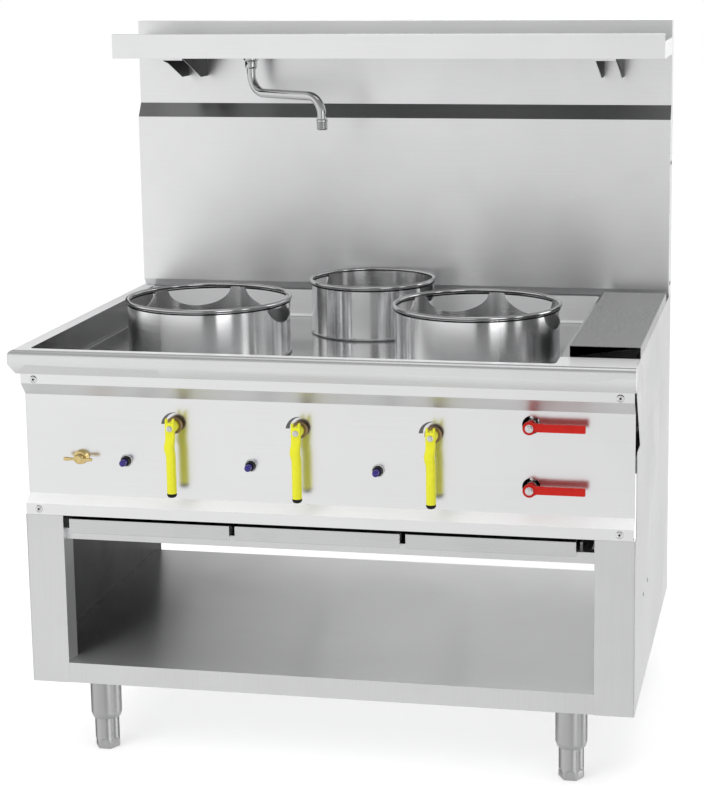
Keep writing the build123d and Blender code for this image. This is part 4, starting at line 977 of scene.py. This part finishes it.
class WOK_OT_gas_levers(bpy.types.Operator):
    """Yellow gas levers with forked heads, their end caps, nuts and brass hubs"""

    bl_idname = "wok_range.gas_levers"
    bl_label = "Gas levers"

    def lever(self, pivot, sizes):
        """The lever's own shape: tube, finger stop, flattened head, fork and boss."""
        tube, bulge, prong = sizes.tube, sizes.bulge, sizes.prong
        flat = 0.0045
        shell = bmesh.new()
        # distance below the pivot, half width, half depth, shift to the left, squareness
        stations = (
            (0.1315, tube * 0.97, tube * 0.97, 0.0, 2.0),
            (0.1300, tube, tube, 0.0, 2.0),
            (0.0800, tube, tube, 0.0, 2.0),
            (0.0580, tube, tube, 0.0, 2.0),
            (0.0520, tube * 1.03, tube, bulge * 0.25, 2.0),
            (0.0460, tube * 1.08, tube * 0.98, bulge * 0.7, 2.1),
            (0.0400, tube * 1.10, tube * 0.94, bulge * 0.95, 2.2),
            (0.0340, tube * 1.08, tube * 0.86, bulge * 0.8, 2.3),
            (0.0270, tube * 1.02, tube * 0.72, bulge * 0.35, 2.6),
            (0.0200, tube, tube * 0.58, 0.0, 3.2),
            (0.0140, tube, flat, 0.0, 4.5),
            (0.0000, tube, flat, 0.0, 5.0),
            (prong - 0.0200, tube, flat, 0.0, 5.0),
            (prong - 0.0206, tube * 0.96, flat * 0.9, 0.0, 5.0),
        )
        skin(shell, [
            section((pivot.x - shift, pivot.y, pivot.z - drop), width, depth, square)
            for drop, width, depth, shift, square in stations
        ])
        # the fork's prongs: height, half width and share of the head's depth
        foot = pivot.z + 0.0200 - prong
        rise = (
            (-0.002, 0.0026, 0.92), (0.2 * prong, 0.0026, 0.92), (0.65 * prong, 0.0024, 0.92),
            (0.9 * prong, 0.0018, 0.8), (1.0 * prong, 0.0008, 0.5),
        )
        for x in (pivot.x - (tube - 0.0027), pivot.x + (tube - 0.0027)):
            skin(shell, [
                section((x, pivot.y, foot + up), width, flat * deep, 3.2, 16)
                for up, width, deep in rise
            ])
        # boss that slides over the valve's stem
        lathe(shell, pivot, BACK, mm(0, 0, 10.6, 0, 11, 0.6, 11, 22.5, 10.2, 24.6, 0, 24.6), 40)
        bmesh.ops.recalc_face_normals(shell, faces=shell.faces)
        return shell

    def execute(self, context):
        sizes = context.scene.wok_gas_levers
        tube = sizes.tube
        # round slotted nut with a bright washer
        washer = mm(0, 0, 6.2, 0, 6.2, 0.8, 5.6, 1.2, 0, 1.2)
        dome = mm(
            0, 3.8, 1.2, 3.8, 1.4, 2.6, 2.2, 2.6, 2.6, 3.6, 4, 3.4, 4.7, 2.6, 5, 1, 0, 0.8
        )
        for side in SIDES:
            body = f"{side}_gas_lever_body"
            cap_low, cap_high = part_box(f"{side}_lever_cap")
            pivot = centre_of(f"{side}_lever_nut")
            nut_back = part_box(f"{side}_lever_nut")[1].y
            pivot.y = nut_back + 0.0045
            finish_piece(
                f"{side}_gas_lever_grip", self.lever(pivot, sizes), body, "yellow",
                (f"{side}_gas_lever",), 50.0,
            )
            rise = cap_high.z - cap_low.z
            cap = (
                (0, 0), (tube * 0.45, 0.0004), (tube * 0.8, 0.0018), (tube * 0.97, 0.0044),
                (tube * 1.01, 0.0066), (tube * 1.01, rise - 0.0006), (tube * 0.97, rise),
                (0, rise),
            )
            turned_piece(
                f"{side}_lever_end_cap", body, "black_plastic", "black", (f"{side}_lever_cap",),
                50.0, ((pivot.x, pivot.y, cap_low.z), UP, cap, 40),
            )
            face = (pivot.x, nut_back, pivot.z)
            turned_piece(
                f"{side}_lever_screw", body, "zinc", "zinc", (f"{side}_lever_nut",), 40.0,
                (face, FRONT, washer, 32), (face, FRONT, dome, 32),
            )
        return {"FINISHED"}


class WOK_OT_gas_hubs(bpy.types.Operator):
    """Brass hubs, stems and bodies of the three gas valves"""

    bl_idname = "wok_range.gas_hubs"
    bl_label = "Gas valve hubs"

    def execute(self, context):
        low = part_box("gas_valves")[0]
        # stem, hub, neck through the panel and the valve's body
        valve = mm(
            0, 0, 4.2, 0, 5, 0.8, 5, 25, 13, 25, 15.8, 25.4, 17, 26.4, 17, 29.2, 16.2, 30, 6, 30,
            6, 41.5, 17.2, 41.5, 18, 42.5, 18, 96.5, 17, 97.5, 0, 97.5,
        )
        turns = []
        for side in SIDES:
            x, _, z = centre_of(f"{side}_lever_nut")
            turns.append(((x, low.y, z), BACK, valve))
            turns.append(((x, low.y + 0.0695, low.z), UP, rod(0.010, 0, z - low.z), 32))
        turned_piece(
            "gas_valve_hubs", "root", "brass", "hub_brass", ("gas_valves",), 35.0, *turns
        )
        return {"FINISHED"}


class WOK_OT_water_levers(bpy.types.Operator):
    """Red water levers with raised rims, and their nuts"""

    bl_idname = "wok_range.water_levers"
    bl_label = "Water levers"

    def execute(self, context):
        sizes = context.scene.wok_water_levers
        foot, thick = -0.0065, 0.005
        for position in ("upper", "lower"):
            body = f"{position}_water_lever_body"
            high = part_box(f"{position}_water_lever")[1]
            hub = centre_of(f"{position}_lever_nut")
            hub.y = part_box(f"{position}_lever_nut")[1].y
            reach = high.x - hub.x
            outline = [
                (0.0135, foot), (reach - 0.0015, foot), (reach, foot + 0.0015),
                (reach, foot + 0.0141), (reach - 0.0015, foot + 0.0156), (0.0300, foot + 0.0156),
                (0.0250, 0.0098),
            ]
            for turn in range(50, 340, 10):
                angle = math.radians(turn)
                outline.append((0.0130 * math.cos(angle), 0.0130 * math.sin(angle)))
            shell = bmesh.new()
            skin(shell, [
                [(hub.x + x, y, hub.z + z) for x, z in outline] for y in (hub.y, hub.y + thick)
            ])
            outward(shell)
            front = [face for face in shell.faces if face.normal.y < -0.9]
            bmesh.ops.inset_region(shell, faces=front, thickness=sizes.rim, depth=-sizes.recess)
            lathe(shell, hub, FRONT, mm(0, 0.8, 9.2, 0.8, 9.6, 0.4, 9.6, -3.5, 0, -3.5), 40)
            lathe(shell, hub, BACK, rod(0.0091, 0, high.y - hub.y), 40)
            replaced = (f"{position}_water_lever",)
            name = f"{position}_red_lever"
            piece = finish_piece(name, shell, body, "red", replaced)
            round_edges(piece, 0.0005, 28.0)
            nut = bmesh.new()
            corner = 0.0120 / math.sqrt(3)
            skin(nut, [
                [
                    (
                        hub.x + share * corner * math.cos(turn), hub.y - along,
                        hub.z + share * corner * math.sin(turn),
                    )
                    for turn in circle_turns(6)
                ]
                for share, along in ((1.0, 0.0008), (1.0, 0.0042), (0.88, 0.0052))
            ])
            stem = mm(0, 3.5, 2.6, 3.5, 3.2, 5.6, 2.6, 6, 0, 6)
            turned_piece(
                f"{position}_red_lever_nut", body, "zinc", "zinc", (f"{position}_lever_nut",),
                35.0, (hub, FRONT, stem, 24), (hub, FRONT, rod(0.0080, 0.0006, 0.0013), 32),
                shell=nut,
            )
        return {"FINISHED"}


class WOK_OT_water_valves(bpy.types.Operator):
    """Water valves seen through the panel's round holes, with their riser"""

    bl_idname = "wok_range.water_valves"
    bl_label = "Water valves"

    def execute(self, context):
        x = centre_of("water_valves").x
        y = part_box("water_valves")[1].y - 0.019
        valve = mm(
            0, -30, 15, -30, 18, -28, 19, -22, 16.5, -20, 16.5, 20, 19, 22, 18, 28, 15, 30, 0, 30
        )
        turns = []
        levels = []
        for position in ("upper", "lower"):
            z = centre_of(f"{position}_lever_nut").z
            levels.append(z)
            turns.append(((x, y, z), UP, valve, 40))
            # the stem ends where the lever's collar begins
            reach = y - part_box(f"{position}_water_lever")[1].y - 0.0002
            neck = [(0, reach), (0.0042, reach), (0.0050, reach - 0.0001)]
            neck += mm(5, 30.5, 9.5, 30.5, 10.8, 29, 10.8, 0, 0, 0)
            turns.append(((x, y, z), FRONT, neck, 40))
        upper, lower = levels
        turns.append(((x, y, 0), UP, rod(0.010, lower, upper), 32))
        turned_piece(
            "water_valve_bodies", "root", "zinc", "zinc", ("water_valves",), 35.0, *turns
        )
        return {"FINISHED"}


class WOK_OT_igniters(bpy.types.Operator):
    """Igniter bezels with their collars, and the domed push buttons"""

    bl_idname = "wok_range.igniters"
    bl_label = "Igniters"

    def execute(self, context):
        ring = mm(
            7.2, -20, 9.4, -20, 9.4, 0, 13, 0, 13, 0.8, 12.2, 1.9, 11, 2, 10.2, 1.4, 9.8, 1, 9.4, 1
        )
        collar = mm(
            9.4, 1, 9.3, 9, 8.8, 11.2, 7.8, 12, 6.9, 11.8, 6.8, 6, 6.8, -32, 7.5, -32, 7.5, -20
        )
        turns = []
        for side in SIDES:
            low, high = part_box(f"{side}_igniter_button")
            x, _, z = centre_of(f"{side}_igniter_button")
            face = (x, panel_face(), z)
            turns += [(face, FRONT, ring, 48, 0), (face, FRONT, collar, 48, 1)]
            reach = high.y - low.y
            dome = mm(0, 0, 2.2, 0.2, 4.2, 0.9, 5.8, 2.2, 6.6, 4, 6.7, 6)
            dome += [(0.0067, reach - 0.0005), (0.0062, reach), (0, reach)]
            turned_piece(
                f"{side}_igniter_dome", f"{side}_igniter_body", "button_plastic", "button",
                (f"{side}_igniter_button",), 50.0, ((x, low.y, z), BACK, dome, 40),
            )
        turned_piece(
            "igniter_collars", "root", "zinc", ("zinc", "black"), ("igniter_bezels",), 35.0, *turns
        )
        return {"FINISHED"}


class WOK_OT_pilot_cock(bpy.types.Operator):
    """Brass pilot cock and its wing handle"""

    bl_idname = "wok_range.pilot_cock"
    bl_label = "Pilot cock"

    def execute(self, context):
        low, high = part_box("cock_handle")
        x, _, z = centre_of("cock_handle")
        boss = mm(
            0, 20, 4.2, 20, 5, 19, 5, 12, 12.2, 12, 13.5, 11.2, 13.8, 9, 12.8, 8, 12.8, 5.5,
            14.6, 4.5, 15, 3, 15, 0, 9, 0, 9, -40, 0, -40,
        )
        turned_piece(
            "pilot_cock_boss", "root", "brass", "brass", ("pilot_cock",), 35.0,
            ((x, panel_face(), z), FRONT, boss, 56),
        )
        # each wing is a flat tongue that narrows to the hub and ends round
        tongue = mm(2, 3.4, 10, 2.8, 16, 3.2, 22, 4, 27.5, 3.8, 30, 2.4)
        tongue.append(((high.x - low.x) / 2, 0.0008))
        depths = (0.0022, 0.0020, 0.0018, 0.0016, 0.0015, 0.0012, 0.0006)
        wing = bmesh.new()
        for way in (-1, 1):
            skin(wing, [
                [
                    (
                        x + way * along, low.y + 0.0024 + depth * math.sin(turn),
                        z + half * math.cos(turn),
                    )
                    for turn in circle_turns(16)
                ]
                for (along, half), depth in zip(tongue, depths)
            ])
        back = high.y - low.y - 0.0004
        hub = mm(0, 0.4, 5.2, 0.4, 5.8, 0, 6.8, 0, 8, 0.6, 9, 2.2) + [(0.0090, back), (0, back)]
        turned_piece(
            "cock_wing_handle", "cock_handle_body", "brass", "brass", ("cock_handle",), 50.0,
            ((x, low.y, z), BACK, hub), shell=wing,
        )
        return {"FINISHED"}


class WOK_OT_tap(bpy.types.Operator):
    """Swivel tap: elbow and collar, bent spout and its grooved aerator"""

    bl_idname = "wok_range.tap"
    bl_label = "Tap"

    def execute(self, context):
        low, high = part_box("tap_body")
        spout_low, spout_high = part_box("tap_spout")
        mouth_low, mouth_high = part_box("tap_aerator")
        mouth_x, mouth_y, _ = centre_of("tap_aerator")
        pipe, collar_radius = 0.010, 0.017
        elbow_bend, spout_bend, spout_drop = 0.012, 0.042, 0.070
        x, y = (value + collar_radius for value in low[:2])
        feed = high.z - pipe
        elbow = bmesh.new()
        route = bent_route(((x, high.y, feed), (x, y, feed), (x, y, low.z + 0.001)), elbow_bend)
        tube_along(elbow, route, pipe, 32)
        collar = mm(
            0, 0, 14, 0, 16, 1, 17, 2.8, 17, 6, 15.8, 6.6, 15.8, 7.8, 17, 8.4, 17, 11.2, 16.2, 12,
            0, 12,
        )
        turned_piece(
            "tap_elbow", "root", "chrome", "chrome", ("tap_body",), 40.0,
            ((x, y, low.z), UP, collar), shell=elbow,
        )
        spout = bmesh.new()
        top = spout_high.z
        level = top - spout_drop
        corners = ((x, y, top), (x, y, level), (mouth_x, mouth_y, level))
        route = bent_route((*corners, (mouth_x, mouth_y, spout_low.z)), spout_bend, 20)
        tube_along(spout, route, pipe, 36)
        nut = mm(0, -16.5, 11.8, -16.5, 13.2, -15, 13.8, -10, 13.8, -1.6, 13, 0, 0, 0)
        turned_piece(
            "tap_bent_spout", "tap_spout_body", "chrome", "chrome", ("tap_spout",), 40.0,
            ((x, y, top), UP, nut), shell=spout,
        )
        aerator = bmesh.new()
        rise = mouth_high.z - mouth_low.z
        profile = mm(8, 4, 8, 0, 10.8, 0, 11.8, 1, 12, 3, 11.2, 3.6, 11.2, 17, 12, 17.8)
        profile += [(0.0120, rise - 0.0018), (0.0108, rise - 0.0002), (0, rise)]
        place = (mouth_x, mouth_y, mouth_low.z)
        lathe(aerator, place, UP, profile)
        lathe(aerator, place, UP, mm(0, 4, 8, 4))
        outward(aerator)
        seeds = [((mouth_x, mouth_y, mouth_low.z + 0.0045), UP)]
        aerator.from_mesh(fine_hoops(seeds, 0.0112, 0.0005, "chrome", 9, 0.0015, 48))
        finish_piece(
            "tap_grooved_aerator", aerator, "tap_spout_body", "chrome",
            ("tap_aerator",), 40.0,
        )
        return {"FINISHED"}


class WOK_OT_legs(bpy.types.Operator):
    """Leg sleeves and the threaded feet that screw out of them"""

    bl_idname = "wok_range.legs"
    bl_label = "Legs and feet"

    def foot_reach(self, turn, up):
        """A foot's radius: below, the round is cut to a hexagon; its flats end in shallow arcs."""
        to_flat, to_corner, full = 0.0229, 0.0261, 0.0252
        sixth = math.pi / 3
        flat = to_flat / math.cos((turn + sixth / 2) % sixth - sixth / 2)
        # each arc is high in the flat's middle, low at the corners
        arc = 0.0150 + 0.0070 * math.cos(3 * turn) ** 2
        cut = max(0.0, min(1.0, (arc - up) / 0.0012))
        return full + (min(flat, to_corner) - full) * cut

    def foot(self, x, y, top):
        """A foot with its thread."""
        foot = bmesh.new()
        rows = [(0.0, 0.925), (0.0012, 0.962)]
        rows += [(up, 1.0) for up in (0.003, 0.015, 0.0165, 0.018, 0.0195, 0.0208, 0.022)]
        rows += [(top - 0.001, 1.0), (top, 0.96)]
        loops = []
        for up, ease in rows:
            loop = []
            for turn in circle_turns(96):
                reach = self.foot_reach(turn, up) * ease
                turned = turn + math.pi / 6
                loop.append((x + reach * math.cos(turned), y + reach * math.sin(turned), up))
            loops.append(loop)
        skin(foot, loops)
        bmesh.ops.recalc_face_normals(foot, faces=foot.faces)
        seeds = [((x, y, 0.0720), UP)]
        foot.from_mesh(fine_hoops(seeds, 0.02485, 0.0006, "leg", 34, 0.0020, 56, 5))
        return foot

    def execute(self, context):
        low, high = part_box("leg_sleeves")
        rise = high.z - low.z
        sleeve = mm(25.6, 0, 28.3, 0, 29.2, 1.2, 31.6, 9.2, 32, 11)
        sleeve += [(0.0320, rise), (0.0256, rise), (0.0256, 0)]
        sleeves = bmesh.new()
        for corner in ("front_left", "front_right", "back_left", "back_right"):
            node = f"foot_{corner}"
            x, y, _ = centre_of(node)
            lathe(sleeves, (x, y, low.z), UP, sleeve, 64)
            foot = self.foot(x, y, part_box(node)[1].z)
            finish_piece(
                f"{corner}_screw_foot", foot, f"{node}_body", "leg", (node,), 35.0
            )
        finish_piece(
            "leg_sleeve_tubes", sleeves, "root", "leg", ("leg_sleeves",), 35.0
        )
        return {"FINISHED"}


class WOK_OT_screws(bpy.types.Operator):
    """Cup washers with cross-recessed screws on the panel, and small heads on the sides"""

    bl_idname = "wok_range.screws"
    bl_label = "Screws"

    def head(self, name, rim, dome, base):
        """A screw head of real size on the XY plane; the cross is pressed into it."""
        shell = bmesh.new()
        profile = mm(*rim)
        for share in (1.0, 0.86, 0.72, 0.58, 0.44, 0.3, 0.16, 0.0):
            rise = 0.0011 * math.sqrt(1 - (share * 0.96) ** 2)
            profile.append((dome * share, base + rise))
        lathe(shell, (0, 0, 0), UP, profile)
        for vert in shell.verts:
            across, along = sorted((abs(vert.co.x), abs(vert.co.y)))
            if across < 0.00062 and along < 0.0026:
                vert.co.z -= 0.0011 * (1 - along / 0.0034)
        bmesh.ops.recalc_face_normals(shell, faces=shell.faces)
        template = bpy.data.objects.new(name, to_mesh(shell, name))
        template.data.polygons.foreach_set("use_smooth", [True] * len(template.data.polygons))
        return template

    def side_places(self):
        """Where the small heads are: on both sides, and round the edge of the rear sheet."""
        right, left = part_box("right_side_panel")[1].x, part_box("left_side_panel")[0].x
        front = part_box("worktop")[0].y
        low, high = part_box("rear_sheet")
        spots = [(front + 0.206, 0.350), (front + 0.302, 0.350)]
        for up in (0.884, 1.156):
            spots += [(high.y - 0.0345, up), (high.y - 0.0205, up)]
        places = []
        for y, z in spots:
            places += [((right, y, z), (1, 0, 0)), ((left, y, z), (-1, 0, 0))]
        edge, y = 0.03, high.y - 0.0008
        for step in range(7):
            x = low.x + edge + step * (high.x - low.x - 2 * edge) / 6
            places += [((x, y, z), BACK) for z in (low.z + 0.02, high.z - 0.02)]
        for step in range(1, 6):
            z = low.z + step * (high.z - low.z) / 6
            places += [((x, y, z), BACK) for x in (low.x + edge, high.x - edge)]
        return places

    def execute(self, context):
        low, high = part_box("control_panel")
        inset = 0.027
        washers = [
            ((x, low.y, high.z - drop), FRONT)
            for x in (low.x + inset, high.x - inset)
            for drop in (0.0605, 0.3280)
        ]
        cup = self.head("washer_head", (8, 0, 7.6, 1, 6.6, 2.1, 5.6, 2.4, 4.8, 1.6), 0.0042, 0.001)
        plain = self.head("plain_head", (5, 0, 4.9, 0.4), 0.0047, 0.0)
        shell = bmesh.new()
        for head, places in ((cup, washers), (plain, self.side_places())):
            values = {"Head": head, "Seed": 7, "Material": FINISHES["zinc"]}
            shell.from_mesh(grow(FASTENERS, values, places))
            bpy.data.objects.remove(head)
        finish_piece("case_screw_heads", shell, "root", "zinc", ("case_screws",))
        # each socket is a near-black disc over a cup head's middle: painted shade in the recess
        sockets = [(place, way, rod(0.0021, 0.0023, 0.0010), 24) for place, way in washers]
        turned_piece("screw_sockets", "root", "zinc", "seam", (), None, *sockets)
        return {"FINISHED"}


class WOK_OT_burners(bpy.types.Operator):
    """Cast burners with their flame ports, pilots and the drums they stand in"""

    bl_idname = "wok_range.burners"
    bl_label = "Burners"

    def execute(self, context):
        dress("burners", "iron")
        dress("pilot_burners", "brass")
        dress("burner_chambers", "soot")
        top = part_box("burners")[1].z
        for side in SIDES:
            low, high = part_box(f"{side}_ring")
            x, y, _ = centre_of(f"{side}_ring")
            head = ((high.x - low.x) / 2 - 0.0125) * 0.66
            ports = bmesh.new()
            for share, count in ((0.90, 36), (0.25, 12)):
                values = {
                    "Circle": head * share, "Count": count, "Port radius": 0.0034,
                    "Port height": 0.0050, "Material": FINISHES["iron"],
                }
                ports.from_mesh(grow(PORTS, values, [((x, y, top + 0.0024), UP)]))
            finish_piece(f"{side}_burner_ports", ports, "root", "iron", (), 40.0)
        return {"FINISHED"}


class WOK_OT_services(bpy.types.Operator):
    """Gas and water pipes, their threaded ends and the basin's drain with its strainer"""

    bl_idname = "wok_range.services"
    bl_label = "Services"

    def execute(self, context):
        for node in ("gas_manifold", "feed_pipes", "gas_inlet", "water_inlet", "basin_drain"):
            dress(node, "pipe")
        # both inlets end in a thread behind the rear sheet, the water's at its pipe's lower end
        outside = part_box("rear_sheet")[1].y + 0.0016
        pipe = 0.0132
        gas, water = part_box("gas_inlet"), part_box("water_inlet")
        tails = [
            ((gas[1].x - pipe, outside, gas[1].z - pipe), BACK),
            ((water[1].x - pipe, outside, water[0].z + pipe), BACK),
        ]
        threads = fine_hoops(tails, 0.0128, 0.0007, "pipe", 8, 0.0018, 48)
        finish_piece("inlet_threads", threads, "root", "pipe", (), 40.0)
        # four hoops and four bars over the drain
        centre = centre_of("basin_drain")
        centre.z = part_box("basin_drain")[1].z + 0.0012
        wire = 0.0008
        strainer = bmesh.new()
        for radius in (0.0035, 0.0075, 0.0115, 0.0155):
            strainer.from_mesh(fine_hoops([(centre, UP)], radius, wire, "pipe", 1, 0.0, 40))
        for turn in range(0, 180, 45):
            angle = math.radians(turn)
            reach = Vector((math.cos(angle), math.sin(angle), 0)) * 0.0162
            tube_along(strainer, (centre - reach, centre + reach), wire, 6)
        finish_piece("drain_strainer", strainer, "root", "zinc", (), 40.0)
        return {"FINISHED"}


class WOK_OT_scales(bpy.types.Operator):
    """Plain wedge-shaped scales printed beside each gas lever"""

    bl_idname = "wok_range.scales"
    bl_label = "Printed scales"

    def execute(self, context):
        shell = bmesh.new()
        proud, inner, steps = 0.00012, 0.0225, 24
        y = panel_face() - proud
        for side in SIDES:
            pivot = centre_of(f"{side}_lever_nut")
            rows = []
            for step in range(steps + 1):
                share = step / steps
                turn = math.radians(182 - 92 * share)
                outer = inner + 0.0082 * (1 - share) ** 1.2 + 0.0006
                rows.append([
                    shell.verts.new(
                        (pivot.x + reach * math.cos(turn), y, pivot.z + reach * math.sin(turn))
                    )
                    for reach in (inner, outer)
                ])
            for low, high in zip(rows, rows[1:]):
                shell.faces.new((low[0], high[0], high[1], low[1]))
        shell.normal_update()
        for face in shell.faces:
            if face.normal.y > 0:
                face.normal_flip()
        finish_piece("lever_scales", shell, "root", "scale")
        return {"FINISHED"}


class WOK_OT_stage(bpy.types.Operator):
    """White floor and room, soft lamps and the camera"""

    bl_idname = "wok_range.stage"
    bl_label = "Stage"

    # azimuths in degrees from the front, towards the cook's right, and the room's brightness there
    BANDS = (
        (-180, 3.0), (-168, 2.8), (-160, 0.10), (-106, 0.10), (-96, 0.8), (-89, 1.2), (-81, 1.25),
        (-72, 1.2), (-50, 1.1), (-30, 1.0), (-12, 0.93), (5, 0.82), (10, 0.08), (25, 0.08),
        (29, 2.6), (46, 2.2), (50, 0.12), (61, 0.10), (65, 2.6), (70, 2.2), (74, 0.12), (101, 0.12),
        (105, 2.8), (122, 2.2), (128, 0.06), (160, 0.06), (165, 1.0), (176, 1.0), (180, 3.0),
    )
    # from straight down (-1) to straight up (1): brightness where the bands don't reach
    HEIGHTS = ((-1.0, 0.7), (-0.6, 0.95), (0.25, 1.0), (0.5, 0.5), (0.93, 0.4), (0.975, 1.2))

    def world(self, room):
        """A white room: bands round the horizon for the metal, an even light for all else."""
        world = bpy.data.worlds.new("room")
        bpy.context.scene.world = world
        world.use_nodes = True
        tree = world.node_tree
        tree.nodes.clear()
        do = partial(maths, tree)
        place = add_node(tree, "ShaderNodeTexCoord")["Generated"]
        way = add_node(tree, "ShaderNodeSeparateXYZ", {0: place})
        azimuth = do("ARCTAN2", way["X"], do("MULTIPLY", way["Y"], -1.0))
        share = do("ADD", do("DIVIDE", azimuth, math.tau), 0.5)
        bands = grey_ramp(tree, share, [((turn + 180) / 360, grey) for turn, grey in self.BANDS])
        level = do("MULTIPLY_ADD", way["Z"], 0.5, 0.5)
        heights = grey_ramp(tree, level, [((up + 1) / 2, grey) for up, grey in self.HEIGHTS])
        # the bands fade out between these heights above and below the horizon
        from_horizon = do("ABSOLUTE", do("ADD", way["Z"], 0.05))
        reach = mapped_range(tree, from_horizon, 0.33, 0.40, 1.0, 0.0)
        mirror = mix_colours(tree, reach, heights, bands)
        rays = add_node(tree, "ShaderNodeLightPath")
        seen = mix_colours(tree, rays["Is Glossy Ray"], (room, room, room, 1), mirror)
        seen = mix_colours(tree, rays["Is Camera Ray"], seen, WHITE)
        background = add_node(tree, "ShaderNodeBackground", {"Color": seen})[0]
        add_node(tree, "ShaderNodeOutputWorld", {"Surface": background})

    def floor(self, colour):
        """A large pale floor that reads white to the camera and keeps the shadow."""
        mesh = bpy.data.meshes.new("floor")
        far = 12.0
        corners = [(-far, -far, 0), (far, -far, 0), (far, far, 0), (-far, far, 0)]
        mesh.from_pydata(corners, [], [(0, 1, 2, 3)])
        floor = add_object("floor", mesh)
        material, tree, shader = new_material("floor_white")
        tree.nodes.remove(shader)
        drift = noise(tree, add_node(tree, "ShaderNodeTexCoord")["Object"], 0.7, 2.0)
        faded = tuple(part * 0.97 for part in colour)
        paint = mix_colours(tree, drift, (*colour, 1), (*faded, 1))
        matt = add_node(tree, "ShaderNodeBsdfDiffuse", {"Color": paint})[0]
        rays = add_node(tree, "ShaderNodeLightPath")
        lift = maths(tree, "MULTIPLY", rays["Is Camera Ray"], 0.42)
        glow = add_node(tree, "ShaderNodeEmission", {"Color": WHITE, "Strength": lift})[0]
        both = add_node(tree, "ShaderNodeAddShader", {0: matt, 1: glow})[0]
        tree.links.new(both, tree.nodes["Material Output"].inputs["Surface"])
        mesh.materials.append(material)
        floor.visible_glossy = False

    def lamp(self, name, place, size, power):
        """A soft square lamp aimed at the range's middle, which metal doesn't show."""
        data = bpy.data.lights.new(name, "AREA")
        data.shape, data.size, data.energy = "SQUARE", size, power
        lamp = add_object(name, data)
        lamp.location = place
        aim = (cad_box[0] + cad_box[1]) / 2 - Vector(place)
        lamp.rotation_euler = aim.to_track_quat("-Z", "Y").to_euler()
        lamp.visible_glossy = False

    def camera(self, lens):
        """The camera, turned to its left by the yaw, down by the pitch and over by the roll."""
        yaw, pitch, roll = 0.1945, 0.1790, -0.0097
        data = bpy.data.cameras.new("camera")
        data.lens, data.sensor_width, data.clip_start = lens, 36.0, 0.05
        data.shift_x, data.shift_y = -0.09375, -0.10625
        camera = add_object("camera", data)
        level = math.cos(pitch)
        ahead = Vector((-math.sin(yaw) * level, math.cos(yaw) * level, -math.sin(pitch)))
        right = Vector((math.cos(yaw), math.sin(yaw), 0))
        up = right.cross(ahead)
        level_right = right * math.cos(roll) + up * math.sin(roll)
        level_up = up * math.cos(roll) - right * math.sin(roll)
        turned = Matrix((level_right, level_up, -ahead)).transposed().to_4x4()
        camera.matrix_world = Matrix.Translation((0.9586, -4.1359, 1.6323)) @ turned
        bpy.context.scene.camera = camera

    def execute(self, context):
        sizes = context.scene.wok_stage
        self.world(sizes.room)
        self.floor(tuple(sizes.floor))
        self.lamp("key", (-2.4, -3.4, 3.4), 2.6, sizes.key)
        self.lamp("overhead", (0.2, -0.4, 4.0), 3.0, sizes.key * 0.6)
        self.camera(sizes.lens)
        context.scene.view_settings.view_transform = "Standard"
        return {"FINISHED"}


OPERATORS = (
    WOK_OT_sheets, WOK_OT_rings, WOK_OT_gas_levers, WOK_OT_gas_hubs, WOK_OT_water_levers,
    WOK_OT_water_valves, WOK_OT_igniters, WOK_OT_pilot_cock, WOK_OT_tap, WOK_OT_legs,
    WOK_OT_screws, WOK_OT_burners, WOK_OT_services, WOK_OT_scales, WOK_OT_stage,
)


class WOK_PT_range(bpy.types.Panel):
    """Lists the wok range's pieces and their sizes"""

    bl_idname = "WOK_PT_range"
    bl_label = "Wok range"
    bl_space_type = "VIEW_3D"
    bl_region_type = "UI"
    bl_category = "Wok range"

    def draw(self, context):
        for operator in OPERATORS:
            self.layout.operator(operator.bl_idname, text=operator.bl_label)
        for name, group in SETTINGS.items():
            box = self.layout.box()
            box.label(text=group.__doc__)
            for field in group.__annotations__:
                box.prop(getattr(context.scene, name), field)


CLASSES = (*SETTINGS.values(), *OPERATORS, WOK_PT_range)


def register():
    for kind in CLASSES:
        bpy.utils.register_class(kind)
    for name, group in SETTINGS.items():
        setattr(bpy.types.Scene, name, bpy.props.PointerProperty(type=group))


def unregister():
    for name in SETTINGS:
        delattr(bpy.types.Scene, name)
    for kind in reversed(CLASSES):
        bpy.utils.unregister_class(kind)


def main():
    register()
    for operator in OPERATORS:
        category, _, name = operator.bl_idname.partition(".")
        getattr(getattr(bpy.ops, category), name)()


if __name__ == "__main__":
    main()
